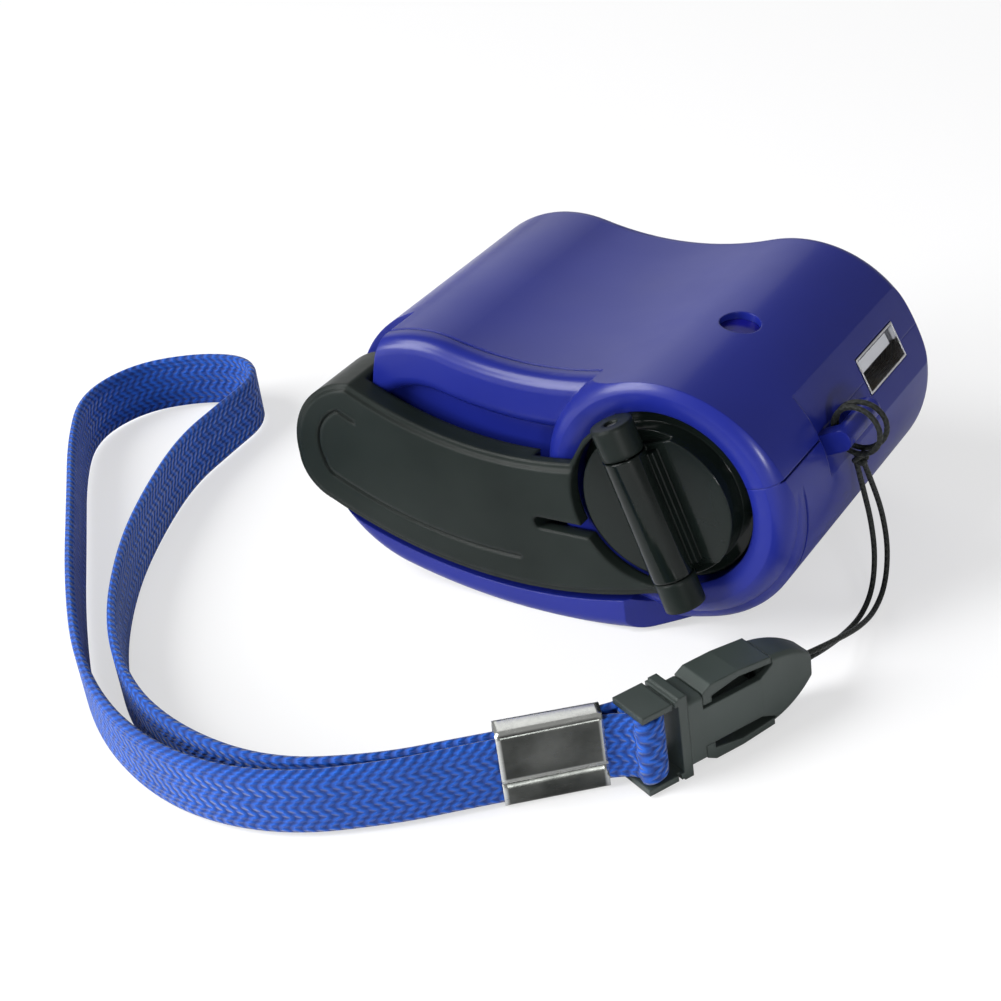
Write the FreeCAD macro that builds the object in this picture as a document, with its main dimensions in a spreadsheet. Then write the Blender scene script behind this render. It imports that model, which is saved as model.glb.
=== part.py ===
import FreeCAD, Part
import math
import os
from types import SimpleNamespace

from FreeCAD import Placement, Rotation, Vector

# A hand crank phone charger: a peanut-shaped dynamo housing with a folding crank on its front,
# a USB socket and a lanyard bar at its right end, and a wrist strap with a release buckle.
# Millimetres. +X is the socket end, -Y is the crank side, +Z is up; the foot stands at Z = 0.

os.makedirs("parts", exist_ok=True)
doc = FreeCAD.newDocument("hand_crank_charger")

# ---------------------------------------------------------------- sizes

SIZES = {
    # housing outline, seen from the front
    "lobe_x": 20.0, "lobe_z": 21.55, "lobe_r": 19.5, "waist_r": 52.5, "belly_r": 94.0,
    "wall": 2.0, "back_round": 3.0, "front_round": 2.4,
    # depths behind the face of the crank disc
    "face_y": -24.15, "band_depth": 3.4, "tray_depth": 6.0, "back_depth": 53.6, "cavity_depth": 10.5,
    "tray_border": 8.4, "tray_round": 2.2,
    # groove behind the roll that the front edge makes
    "roll_deep": 3.2, "roll_groove_wide": 0.6, "roll_groove_deep": 0.35,
    # lip below the folded arm
    "lip_front": 0.0, "lip_gap": 1.4, "lip_round": 2.2, "lip_fall": 32.0, "lip_fall_x": 13.0, "lip_in": 1.0,
    # seam between the two shells, and the fine groove along it
    "seam_slope": 17.9, "seam_bend_r": 65.0, "seam_wide": 0.3, "seam_deep": 0.4,
    # crank well and its collar, each ring's radius as a step out from the one inside it
    "hub_x": 20.0, "hub_z": 23.0, "well_gap": 0.45, "well_depth": 8.4, "well_lip_depth": 2.2,
    "crest_out": 3.05, "crest_depth": 1.6, "collar_out": 2.5, "collar_fall": 2.6,
    # recess for the knob, swept about the hub
    "recess_gap": 1.1, "recess_depth": 13.6,
    # crank disc, hinge barrel and shaft
    "disc_out": 2.1, "disc_thick": 4.6, "skirt_out": 3.8, "skirt_depth": 3.6, "skirt_thick": 2.6,
    "barrel_r": 3.1, "barrel_len": 18.8, "hinge_tilt": 18.2, "hinge_out": 2.2, "pin_r": 1.0, "pin_in": 0.4,
    "saddle_edge": 0.8, "saddle_sink": 0.6, "shaft_r": 2.5, "bush_wall": 0.6, "flange_out": 1.2,
    "flange_thick": 0.8,
    # crank arm
    "arm_front": -1.0, "arm_back": 3.0, "neck_back": 1.1, "arm_bore_in": 0.65, "neck_gap": 1.0,
    "arm_top_x": -2.0, "arm_top_z": 26.9, "arm_top_r": 58.8, "arm_top_left": -30.24, "arm_top_right": 7.0,
    "arm_low_x": -4.0, "arm_low_z": 5.1, "arm_low_r": 72.9, "arm_low_left": -37.1, "arm_low_right": 18.53,
    "arm_tip_x": -42.0, "arm_tip_z": 20.4, "arm_shoulder": 0.21, "arm_heel": 0.167,
    "arm_neck_turn": 139.1, "arm_neck_out": 0.75, "arm_root": 1.0, "ear_r": 3.0, "ear_len": 4.6,
    "ear_gap": 0.3, "pin_clear": 0.04,
    "groove_in": 4.9, "groove_wide": 0.6, "groove_deep": 0.35, "rim_wide": 1.0, "rim_deep": 0.5,
    "groove_top": 4.0, "groove_end": 3.0, "slot_x": 1.0, "slot_z": 17.0, "slot_r": 1.0, "arm_wall": 1.6,
    "arm_wall_back": 10.8, "arm_wall_gap": 1.0,
    # grip knob on the arm's end
    "knob_reach": 55.4, "knob_drop": 2.0, "knob_r": 4.9, "knob_len": 9.2, "knob_axle_r": 1.5,
    "knob_gap": 0.3, "knob_round": 1.0, "head_r": 2.6, "head_thick": 0.9, "axle_seat": 2.0,
    # gear train
    "tooth_play": 0.14, "mesh_gap": 0.06, "axle_r": 1.0, "axle_clear": 0.05, "drive_hub": 2.5,
    "drive_teeth": 40, "drive_module": 0.7, "drive_wide": 4.0, "drive_depth": 12.0,
    "mid_teeth": 40, "mid_pinion_teeth": 12, "mid_module": 0.6, "mid_wide": 2.6,
    "fast_teeth": 36, "fast_pinion_teeth": 12, "fast_module": 0.5, "fast_wide": 2.2,
    "rotor_teeth": 10, "level_gap": 0.6, "mid_fall": 2.5, "fast_rise": 3.0, "rotor_fall": 4.8,
    # gear plate
    "plate_depth": 24.0, "plate_thick": 2.0, "plate_margin": 0.4,
    # generator, which ends short of the back wall
    "can_r": 10.0, "can_room": 2.8, "can_nose_r": 3.0, "can_nose_len": 1.4, "cap_len": 2.6, "cap_in": 0.8,
    "cap_boss": 1.2, "rotor_shaft_r": 0.75, "shaft_proud": 0.4, "lead_r": 0.6, "lead_len": 2.0,
    "lead_out": 4.5,
    # flat facet at the socket end, seen along its own outward line
    "facet_tilt": 24.0, "facet_reach": 18.4, "facet_front": -9.0,
    # USB socket
    "usb_in": 13.7, "usb_wide": 13.1, "usb_tall": 5.7, "usb_wall": 0.3, "usb_long": 14.0, "usb_proud": 0.1,
    "usb_fit": 0.15, "usb_base": 3.0, "tongue_wide": 11.1, "tongue_tall": 1.84, "tongue_back": 1.2,
    "tongue_up": 0.85,
    "contact_wide": 1.0, "contact_long": 7.4, "contact_thick": 0.2, "contact_pitch": 2.25, "contact_in": 0.6,
    # circuit board, between the gear plate and the back wall; its parts stand behind the socket
    "board_thick": 1.2, "board_long": 26.0, "board_front": 2.0, "board_back": 1.0, "board_in": 2.6,
    "part_edge": 2.4, "capacitor_r": 3.1, "capacitor_tall": 7.0, "capacitor_in": 4.6, "coil_r": 3.4,
    "coil_tall": 3.2, "coil_in": 9.0, "chip_long": 5.0, "chip_wide": 4.0, "chip_tall": 1.5, "chip_in": 13.8,
    # lanyard bar
    "bar_y": -2.5, "bar_len": 10.4, "bar_r": 1.6, "bar_out": 3.0, "bar_post": 2.4, "bar_drop": 2.2,
    # lamp in the top of the right lobe
    "lamp_x": 23.0, "lamp_y": -1.0, "lamp_r": 2.9, "lamp_seat": 1.2, "lamp_clear": 0.06,
    # screws, one beside the gear plate and one beside the back wall
    "screw_r": 1.1, "screw_head_r": 2.0, "screw_head": 1.6, "boss_r": 3.4, "boss_gap": 2.4, "screw_x": 1.0,
    "screw_seat": 12.0, "screw_len": 14.0, "screw_play": 0.15,
    # cord between the lanyard bar and the buckle
    "cord_r": 0.4, "cord_play": 0.1, "hitch_r": 3.6, "hitch_front": 1.9, "knot_r": 1.3, "knot_tuck": 0.18,
    # release buckle, standing on edge; its own X runs from the strap end to the cord end
    "buckle_x": 31.4, "buckle_y": -53.2, "buckle_turn": 64.6, "buckle_tall": 13.0, "buckle_thick": 6.4,
    "male_len": 5.6, "flange": 1.4, "flange_gap": 0.5, "rear_bar": 1.7, "slot_edge": 1.2, "frame_in": 0.3,
    "socket_len": 21.3, "socket_tall": 10.4, "buckle_wall": 1.1, "socket_round": 0.8, "shoulder_x": 12.0,
    "shoulder_bulge": 0.1, "tip_tall": 4.2, "tip_thick": 4.2, "cord_hole_r": 1.2, "cord_hole_in": 4.0,
    "window_start": 2.4, "window_len": 11.8, "window_deep": 2.2, "window_rise": 1.2, "plug_len": 12.0,
    "plug_tall": 3.2, "plug_room": 2.0, "slide_gap": 0.25, "prong_tall": 1.3, "prong_heel": 1.4,
    "prong_proud": 0.8, "prong_thin": 1.0,
    # crimp and strap, both standing on edge
    "strap_wide": 10.0, "strap_thick": 1.5, "strap_gap": 0.1, "crimp_x": 16.0, "crimp_y": -63.6,
    "crimp_turn": 39.6, "crimp_len": 14.0, "crimp_wall": 0.5, "crimp_tall": 12.0, "tail_lift": 1.3,
    "strap_exit": 5.0,
}

sheet = doc.addObject("Spreadsheet::Sheet", "Dims")
for row, (alias, value) in enumerate(SIZES.items(), start=1):
    sheet.set(f"A{row}", alias)
    sheet.set(f"B{row}", str(value))
    sheet.setAlias(f"B{row}", alias)
doc.recompute()
D = SimpleNamespace(**{alias: float(sheet.get(alias)) for alias in SIZES})

TO_BACK = Rotation(Vector(1, 0, 0), -90)  # turns +Z to +Y
NODES = []
VALUES = []

# sizes that follow from others: the well runs round the skirt, the collar round the well, and the
# board and the socket sit by the gear plate and the back wall
DISC_R = "({barrel_len} / 2 + {disc_out})"
SKIRT_R = "({barrel_len} / 2 + {skirt_out})"
WELL_R = "(" + SKIRT_R + " + {well_gap})"
ARM_BORE_R = "(" + WELL_R + " - {arm_bore_in})"
COLLAR_R = "(" + WELL_R + " + {crest_out} + {collar_out})"
SHAFT_BORE_R = "({shaft_r} + {bush_wall})"
RECESS_R = "({knob_reach} - {knob_r} - {recess_gap})"
PLATE_BACK = "({plate_depth} + {plate_thick})"
USB_Y = "({face_y} + {back_depth} - {usb_in})"
BOARD_Y = "({face_y} + " + PLATE_BACK + " + {board_front})"
BOARD_BACK_Y = "({face_y} + {back_depth} - {wall} - {board_back})"

# ---------------------------------------------------------------- helpers


def bind(obj, **formulas):
    """Ties properties to formulas of the sheet's names; a double underscore stands for a dot."""
    for prop, formula in formulas.items():
        for alias in sorted(SIZES, key=len, reverse=True):
            formula = formula.replace("{" + alias + "}", "Dims." + alias)
        obj.setExpression(prop.replace("__", "."), formula)
    return obj


def value(formula):
    """The number that a formula of the sheet's names gives."""
    cell = f"E{1 + len(VALUES)}"
    for alias in sorted(SIZES, key=len, reverse=True):
        formula = formula.replace("{" + alias + "}", alias)
    sheet.set(cell, "=" + formula)
    sheet.recompute()
    VALUES.append(float(sheet.get(cell)))
    return VALUES[-1]


def rod(name, radius, length, x="{hub_x}", z="{hub_z}", depth="0"):
    """A cylinder along Y whose front end lies `depth` behind the crank disc's face."""
    obj = doc.addObject("Part::Cylinder", name)
    obj.Placement.Rotation = TO_BACK
    bind(obj, Radius=radius, Height=length, Placement__Base__x=x, Placement__Base__z=z)
    return bind(obj, Placement__Base__y="{face_y} + " + depth)


def block(name, long, wide, tall, x="0", y="0", z="0"):
    """A box from its low corner."""
    obj = doc.addObject("Part::Box", name)
    bind(obj, Length=long, Width=wide, Height=tall)
    return bind(obj, Placement__Base__x=x, Placement__Base__y=y, Placement__Base__z=z)


def prism(name, edges, depth, length):
    """A padded sketch of the XZ plane, from `depth` behind the crank disc's face towards the back."""
    body = doc.addObject("PartDesign::Body", name)
    sketch = body.newObject("Sketcher::SketchObject", name + "_outline")
    plane = [p for p in body.Origin.OriginFeatures if p.Role == "XZ_Plane"][0]
    sketch.AttachmentSupport = [(plane, "")]
    sketch.MapMode = "FlatFace"
    for edge in edges:
        sketch.addGeometry(edge, False)
    pad = body.newObject("PartDesign::Pad", name + "_pad")
    pad.Profile = sketch
    pad.Reversed = True
    bind(pad, Length=length)
    return bind(body, Placement__Base__y="{face_y} + " + depth)


def cut(name, base, *tools):
    obj = doc.addObject("Part::Cut", name)
    obj.Base = base
    obj.Tool = tools[0] if len(tools) == 1 else fuse(name + "_tools", *tools)
    return obj


def fuse(name, *pieces):
    obj = doc.addObject("Part::MultiFuse", name)
    obj.Shapes = list(pieces)
    return obj


def common(name, *pieces):
    obj = doc.addObject("Part::MultiCommon", name)
    obj.Shapes = list(pieces)
    return obj


def feature(name, shape, placement=None):
    """A shape made with Part's own functions, for forms that no primitive or sketch fits."""
    obj = doc.addObject("Part::Feature", name)
    obj.Shape = shape
    if placement:
        obj.Placement = placement.multiply(obj.Placement)
    return obj


def node(name, obj):
    """Marks an object as a piece of the product."""
    obj.Label = name
    NODES.append(obj)
    return obj


def flat(x, z):
    """A point of a sketch on the XZ plane."""
    return Vector(x, z, 0)


def along(centre, angle, radius):
    """The sketch point at an angle in degrees, anticlockwise from +X, about a centre."""
    turn = math.radians(angle)
    return flat(centre[0] + radius * math.cos(turn), centre[1] + radius * math.sin(turn))


def arc(centre, radius, start, end):
    """An arc about a centre, from one angle to another in degrees."""
    return Part.Arc(*[along(centre, angle, radius) for angle in (start, (start + end) / 2, end)])


def lines(points):
    """A closed run of straight sketch edges."""
    ring = points + points[:1]
    return [Part.LineSegment(flat(*a), flat(*b)) for a, b in zip(ring, ring[1:])]


def extrude_xz(edges, depth, length):
    """A plain solid from closed XZ edges, from `depth` behind the disc's face towards the back."""
    wire = Part.Wire(Part.__sortEdges__([e.toShape() for e in edges]))
    solid = Part.Face(wire).extrude(Vector(0, 0, length))
    solid.rotate(Vector(), Vector(1, 0, 0), 90)
    solid.translate(Vector(0, D.face_y + depth + length, 0))
    return solid


# ---------------------------------------------------------------- housing


def peanut(inset):
    """The housing's outline drawn in by an inset: two lobes, a hollow waist above, a full belly below."""
    r = D.lobe_r - inset
    waist = D.waist_r + inset
    belly = D.belly_r - inset
    waist_z = D.lobe_z + math.sqrt((D.waist_r + D.lobe_r) ** 2 - D.lobe_x ** 2)
    belly_z = D.lobe_z + math.sqrt((D.belly_r - D.lobe_r) ** 2 - D.lobe_x ** 2)
    lean = math.degrees(math.atan2(D.lobe_x, waist_z - D.lobe_z))
    rock = math.degrees(math.atan2(D.lobe_x, belly_z - D.lobe_z))
    left, right = (-D.lobe_x, D.lobe_z), (D.lobe_x, D.lobe_z)
    return [
        arc((0, waist_z), waist, 270 - lean, 270 + lean),
        arc(right, r, 90 + lean, -90 + rock),
        arc((0, belly_z), belly, 270 + rock, 270 - rock),
        arc(left, r, 270 - rock, 90 - lean),
    ]


def rounded(name, body, radius, y):
    """Rounds the edges of a body that lie in one plane across Y."""
    doc.recompute()
    base = body.Tip
    boxes = [edge.BoundBox for edge in base.Shape.Edges]
    flush = [abs(box.YMin - y) < 1e-4 and abs(box.YMax - y) < 1e-4 for box in boxes]
    fillet = body.newObject("PartDesign::Fillet", name)
    fillet.Base = (base, [f"Edge{i + 1}" for i, hit in enumerate(flush) if hit])
    bind(fillet, Radius=radius)
    body.Tip = fillet
    return body


hull = prism("hull", peanut(0), "{band_depth}", "{back_depth} - {band_depth}")
rounded("hull_back_round", hull, "{back_round}", D.back_depth - D.band_depth)
rounded("hull_front_round", hull, "{front_round}", 0)

# the tray that the folded arm lies in: the outline drawn in, its floor behind the band
tray = prism("tray", peanut(D.tray_border), "{band_depth} - 1", "{tray_depth} - {band_depth} + 1")

# a groove round the outline sets the front edge off as a roll
roll_ring = cut(
    "roll_ring",
    prism("roll_ring_outer", peanut(-1), "{band_depth} + {roll_deep}", "{roll_groove_wide}"),
    prism(
        "roll_ring_inner", peanut(D.roll_groove_deep),
        "{band_depth} + {roll_deep} - 1", "{roll_groove_wide} + 2",
    ),
)
hull_with_tray = cut("hull_with_tray", hull, tray, roll_ring)
doc.recompute()
tray_radii = [edge.toShape().Curve.Radius for edge in peanut(D.tray_border)]
tray_rim = []
for i, edge in enumerate(hull_with_tray.Shape.Edges):
    round_edge = isinstance(edge.Curve, Part.Circle) and edge.BoundBox.YMax < D.face_y + D.band_depth + 1e-4
    if round_edge and min(abs(edge.Curve.Radius - radius) for radius in tray_radii) < 1e-4:
        tray_rim.append(i + 1)
rolled_hull = doc.addObject("Part::Fillet", "rolled_hull")
rolled_hull.Base = hull_with_tray
rolled_hull.Edges = [(edge, D.tray_round, D.tray_round) for edge in tray_rim]

# the collar: a ring with a rounded crest, trimmed to the outline's silhouette
well_r = value(WELL_R)
collar_r = value(COLLAR_R)
inner_r = well_r - D.well_gap
lip = Vector(well_r, 0, D.well_lip_depth)
crest = Vector(well_r + D.crest_out, 0, D.crest_depth)
brim = Vector(collar_r, 0, D.crest_depth + D.collar_fall)
inner_foot = Vector(inner_r, 0, D.well_depth)
inner_top = Vector(inner_r, 0, D.well_lip_depth + D.well_gap)
outer_foot = Vector(collar_r, 0, D.well_depth)
lip_rise = Vector((lip.x + crest.x) / 2, 0, D.crest_depth + (D.well_lip_depth - D.crest_depth) / 5)
brim_fall = Vector((crest.x + brim.x) / 2 + D.collar_out / 8, 0, D.crest_depth + D.collar_fall / 3)
profile = Part.Wire([
    Part.LineSegment(inner_foot, inner_top).toShape(),
    Part.LineSegment(inner_top, lip).toShape(),
    Part.Arc(lip, lip_rise, crest).toShape(),
    Part.Arc(crest, brim_fall, brim).toShape(),
    Part.LineSegment(brim, outer_foot).toShape(),
    Part.LineSegment(outer_foot, inner_foot).toShape(),
])
collar_turned = Part.Face(profile).revolve(Vector(), Vector(0, 0, 1), 360)
collar_turned.Placement = Placement(Vector(D.hub_x, D.face_y, D.hub_z), TO_BACK)
collar_ring = feature("collar_ring", collar_turned)
silhouette = prism("silhouette", peanut(0), "0", "{back_depth}")
collar = common("collar", collar_ring, silhouette)

well = rod("well", WELL_R, "{well_depth} + 5", depth="-5")
shaft_hole = rod("shaft_hole", SHAFT_BORE_R, "{cavity_depth} + 1", depth="{well_depth} - 1")
recess_disc = rod("recess_disc", "{hub_x} + 2 * {lobe_x} + {lobe_r}", "{recess_depth}", depth="0")
recess_core = rod("recess_core", RECESS_R, "{recess_depth} + 2", depth="-1")
recess = cut("knob_recess", recess_disc, recess_core)

cavity_block = prism(
    "cavity_block", peanut(D.wall), "{cavity_depth}", "{back_depth} - {wall} - {cavity_depth}",
)
recess_wall = cut(
    "recess_wall",
    rod("recess_wall_disc", "{hub_x} + 2 * {lobe_x} + {lobe_r}", "{recess_depth} + {wall}", depth="0"),
    rod("recess_wall_core", RECESS_R + " - {wall}", "{recess_depth} + {wall} + 2", depth="-1"),
)
cavity = cut("cavity", cavity_block, recess_wall)


def facet_spot(reach, up):
    """The X and Z of a point in the facet's frame."""
    return (
        "{lobe_x} + (" + reach + ") * cos({facet_tilt}) - (" + up + ") * sin({facet_tilt})",
        "{lobe_z} + (" + reach + ") * sin({facet_tilt}) + (" + up + ") * cos({facet_tilt})",
    )


def on_facet(obj, reach="{facet_reach}", y="0", up="0"):
    """Lays an object in the facet's frame: its X points out of the facet, its Z up along it."""
    obj.Placement.Rotation = Rotation(Vector(0, 1, 0), -D.facet_tilt)
    out, rise = facet_spot(reach, up)
    return bind(obj, Placement__Base__x=out, Placement__Base__y=y, Placement__Base__z=rise)


def facet_box(name, long, wide, tall, reach, y, up):
    obj = block(name, long, wide, tall)
    return on_facet(obj, reach, y, up)


facet_cut = facet_box(
    "facet_cut", "8", "{face_y} + {back_depth} - {facet_front} + 1", "2 * {lobe_r}",
    "{facet_reach}", "{facet_front}", "-{lobe_r}",
)
foot_cut = block("foot_cut", "200", "200", "10", "-100", "-100", "-10")
usb_window = facet_box(
    "usb_window", "12", "{usb_wide} + 2 * {usb_fit}", "{usb_tall} + 2 * {usb_fit}",
    "{facet_reach} - 8", USB_Y + " - {usb_wide} / 2 - {usb_fit}", "-{usb_tall} / 2 - {usb_fit}",
)


def lamp_rod(name, radius, length, sink):
    """A cylinder square to the lobe's top, `sink` below its surface at the lamp."""
    obj = doc.addObject("Part::Cylinder", name)
    lean = math.degrees(math.asin((D.lamp_x - D.lobe_x) / D.lobe_r))
    obj.Placement.Rotation = Rotation(Vector(0, 1, 0), lean)
    bind(obj, Radius=radius, Height=length, Placement__Base__y="{lamp_y}")
    bind(obj, Placement__Base__x="{lamp_x} - (" + sink + ") * sin(asin(({lamp_x} - {lobe_x}) / {lobe_r}))")
    drop = "({lobe_r} - (" + sink + ")) * cos(asin(({lamp_x} - {lobe_x}) / {lobe_r}))"
    return bind(obj, Placement__Base__z="{lobe_z} + " + drop)


lamp_hole = lamp_rod("lamp_hole", "{lamp_r} + {lamp_clear}", "{wall} * 3", "{wall} * 1.5")

# wall added behind the facet, so that the flat keeps its thickness
facet_back = common(
    "facet_back",
    facet_box(
        "facet_back_block", "{lobe_r}", "{face_y} + {back_depth} - {facet_front} + {wall}", "2 * {lobe_r}",
        "{facet_reach} - {wall}", "{facet_front} - {wall}", "-{lobe_r}",
    ),
    silhouette,
)
hollow = cut("hollow", cavity, facet_back)


# lanyard bar: two posts and a round bar between them, standing off the facet
def bar_posts():
    posts = []
    for i, side in enumerate(("-{bar_len} / 2", "{bar_len} / 2 - {bar_post}")):
        posts.append(facet_box(
            f"bar_post_{i + 1}", "{bar_out} + {wall} / 2", "{bar_post}", "2 * {bar_r}",
            "{facet_reach} - {wall} / 2", "{bar_y} + " + side, "-{bar_drop} - {bar_r}",
        ))
    return posts


bar = doc.addObject("Part::Cylinder", "bar")
bind(bar, Radius="{bar_r}", Height="{bar_len}")
bar.Placement.Rotation = TO_BACK
bar_out_x, bar_rise_z = facet_spot("{facet_reach} + {bar_out}", "-{bar_drop}")
bind(bar, Placement__Base__x=bar_out_x, Placement__Base__z=bar_rise_z)
bind(bar, Placement__Base__y="{bar_y} - {bar_len} / 2")

# the lip: the outline carried forward below the folded arm, falling away towards the collar
lip_mass = prism("lip_mass", peanut(0), "{lip_front}", "{recess_depth} - {lip_front} + 1")
rounded("lip_round", lip_mass, "{lip_round}", 0)
lip_fall = block(
    "lip_fall", "2 * {lobe_r}", "{lobe_r}", "4 * {lobe_r}", "{lip_fall_x}", "0", "-{lobe_r}",
)
bind(lip_fall, Placement__Base__y="{face_y} + {lip_front} - {lobe_r} * cos({lip_fall})")
bind(lip_fall, Placement__Base__x="{lip_fall_x} + {lobe_r} * sin({lip_fall})")
lip_fall.Placement.Rotation = Rotation(Vector(0, 0, 1), D.lip_fall)
lip = cut(
    "lip", lip_mass, lip_fall,
    rod(
        "lip_room", "{arm_low_r} + {lip_gap}", "{recess_depth} + 6",
        "{arm_low_x}", "{arm_low_z} + {arm_low_r}", "{lip_front} - 1",
    ),
    rod("lip_collar_room", COLLAR_R + " - {lip_in}", "{recess_depth} + 6", depth="{lip_front} - 1"),
)
recessed = cut("recessed", fuse("outer_mass", rolled_hull, collar), well, recess)


# seam: two slopes joined by a bend, along the middle of both lobes
def above_seam(lift=0.0):
    """The region above the seam line, or above a line some way over it, as a sketch outline."""
    slope = math.radians(D.seam_slope)
    bend_z = lift + D.hub_z - D.seam_bend_r * (1 - math.cos(slope)) + D.seam_bend_r
    bend_x = D.seam_bend_r * math.sin(slope)
    far = 2 * D.lobe_x + D.lobe_r
    low = bend_z - D.seam_bend_r * math.cos(slope)
    high = low + (far - bend_x) * math.tan(slope)
    top = 4 * D.lobe_r
    return [
        arc((0, bend_z), D.seam_bend_r, 270 - D.seam_slope, 270 + D.seam_slope),
        Part.LineSegment(flat(bend_x, low), flat(far, high)),
        Part.LineSegment(flat(far, high), flat(far, top)),
        Part.LineSegment(flat(far, top), flat(-far, top)),
        Part.LineSegment(flat(-far, top), flat(-far, high)),
        Part.LineSegment(flat(-far, high), flat(-bend_x, low)),
    ]


upper_space = prism("upper_space", above_seam(), "-10", "{back_depth} + 20")
seam_groove = cut(
    "seam_groove",
    prism("seam_band", above_seam(-D.seam_wide / 2), "0", "{back_depth}"),
    prism("seam_band_top", above_seam(D.seam_wide / 2), "-1", "{back_depth} + 2"),
    prism("seam_band_core", peanut(D.seam_deep), "-1", "{back_depth} - {seam_deep} + 1"),
)
outer = cut("outer", fuse("recessed_with_lip", recessed, lip), facet_cut, foot_cut, seam_groove)
shell_all = cut("shell_all", outer, hollow, shaft_hole, usb_window, lamp_hole)


# ---------------------------------------------------------------- shells and screws


def screw_rods(name, radius, base, length):
    """One upright cylinder at each screw."""
    rods = []
    front = "{face_y} + " + PLATE_BACK + " + {boss_r} + {boss_gap}"
    back = "{face_y} + {back_depth} - {wall} - {boss_r} - {boss_gap}"
    for i, place in enumerate((front, back)):
        obj = doc.addObject("Part::Cylinder", f"{name}_{i + 1}")
        bind(obj, Radius=radius, Height=length)
        bind(obj, Placement__Base__x="{screw_x}", Placement__Base__y=place, Placement__Base__z=base)
        rods.append(obj)
    return rods


boss_columns = fuse("boss_columns", *screw_rods("boss", "{boss_r}", "0", "{lobe_z} + {lobe_r}"))
bosses = common("bosses", boss_columns, silhouette)
shell_bossed = cut(
    "shell_bossed",
    fuse("shell_with_bosses", shell_all, bosses),
    foot_cut,
    *screw_rods("head_bore", "{screw_head_r} + {screw_play}", "-1", "{screw_seat} + 1"),
    *screw_rods("shank_bore", "{screw_r}", "0", "{screw_seat} + {screw_len} + 1"),
)
node("top_shell", common("top_half", shell_bossed, upper_space))
bottom_half = cut("bottom_half", shell_bossed, upper_space)
node("bottom_shell", fuse("bottom_with_bar", bottom_half, bar, *bar_posts()))

screw_parts = [
    *screw_rods("screw_head", "{screw_head_r}", "{screw_seat} - {screw_head}", "{screw_head}"),
    *screw_rods("screw_shank", "{screw_r}", "{screw_seat}", "{screw_len}"),
]
node("shell_screws", fuse("shell_screws_all", *screw_parts))

bush = fuse(
    "bush_body",
    rod("bush_barrel", SHAFT_BORE_R, "{cavity_depth} - {well_depth}", depth="{well_depth}"),
    rod("bush_flange", SHAFT_BORE_R + " + {flange_out}", "{flange_thick}", depth="{cavity_depth}"),
)
bush_bore = rod(
    "bush_bore", "{shaft_r} + {axle_clear}", "{cavity_depth} - {well_depth} + {flange_thick} + 2",
    depth="{well_depth} - 1",
)
node("shaft_bush", cut("bush", bush, bush_bore))

# ---------------------------------------------------------------- lamp

lens = lamp_rod("lens", "{lamp_r}", "{wall} * 1.5 - {lamp_seat}", "{wall} * 1.5")
node("lamp_lens", lens)
lamp_dome = lamp_rod("lamp_dome", "{lamp_r} - 0.4", "2.4", "{wall} * 1.5 + 2.4")
lamp_rim = lamp_rod("lamp_rim", "{lamp_r}", "1.0", "{wall} * 1.5 + 3.4")
node("lamp_body", fuse("lamp_body_all", lamp_dome, lamp_rim))

# ---------------------------------------------------------------- USB socket and circuit board

SOCKET_BACK = "{facet_reach} + {usb_proud} - {usb_long}"
INSIDE_WIDE = "({usb_wide} - 2 * {usb_wall})"
INSIDE_TALL = "({usb_tall} - 2 * {usb_wall})"
INSIDE_Y = USB_Y + " - " + INSIDE_WIDE + " / 2"
usb_outer = facet_box(
    "usb_outer", "{usb_long}", "{usb_wide}", "{usb_tall}",
    SOCKET_BACK, USB_Y + " - {usb_wide} / 2", "-{usb_tall} / 2",
)
usb_inner = facet_box(
    "usb_inner", "{usb_long} + 2", INSIDE_WIDE, INSIDE_TALL,
    SOCKET_BACK + " - 1", INSIDE_Y, "-" + INSIDE_TALL + " / 2",
)
node("usb_shell", cut("usb_can", usb_outer, usb_inner))
usb_base = facet_box(
    "usb_base", "{usb_base}", INSIDE_WIDE, INSIDE_TALL, SOCKET_BACK, INSIDE_Y, "-" + INSIDE_TALL + " / 2",
)
tongue = facet_box(
    "tongue", "{usb_long} - {tongue_back}", "{tongue_wide}", "{tongue_tall}",
    SOCKET_BACK, USB_Y + " - {tongue_wide} / 2", "{tongue_up} - {tongue_tall} / 2",
)
node("usb_tongue", fuse("usb_tongue_all", usb_base, tongue))
contacts = []
for i in range(4):
    contacts.append(facet_box(
        f"contact_{i + 1}", "{contact_long}", "{contact_wide}", "{contact_thick}",
        SOCKET_BACK + " + {usb_long} - {tongue_back} - {contact_long} - {contact_in}",
        USB_Y + f" + {{contact_pitch}} * {i - 1.5} - {{contact_wide}} / 2",
        "{tongue_up} - {tongue_tall} / 2 - {contact_thick}",
    ))
node("usb_contacts", fuse("usb_contacts_all", *contacts))

BOARD_TOP = "-{usb_tall} / 2"
node("circuit_board", facet_box(
    "circuit_board", "{board_long}", BOARD_BACK_Y + " - " + BOARD_Y, "{board_thick}",
    "{facet_reach} - {board_in} - {board_long}", BOARD_Y, BOARD_TOP + " - {board_thick}",
))


def board_can(name, radius, tall, inward, y):
    """A round component standing on the circuit board, `inward` of the socket's back."""
    obj = doc.addObject("Part::Cylinder", name)
    bind(obj, Radius=radius, Height=tall)
    return node(name, on_facet(obj, "{facet_reach} - {usb_long} - " + inward, y, BOARD_TOP))


CAPACITOR_Y = BOARD_Y + " + {capacitor_r} + {part_edge}"
COIL_Y = BOARD_BACK_Y + " - {coil_r} - {part_edge}"
board_can("capacitor", "{capacitor_r}", "{capacitor_tall}", "{capacitor_in}", CAPACITOR_Y)
board_can("inductor", "{coil_r}", "{coil_tall}", "{coil_in}", COIL_Y)
node("regulator_chip", facet_box(
    "regulator_chip", "{chip_long}", "{chip_wide}", "{chip_tall}",
    "{facet_reach} - {usb_long} - {chip_in}", BOARD_Y + " + {part_edge}", BOARD_TOP,
))

# ---------------------------------------------------------------- gear train


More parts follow.
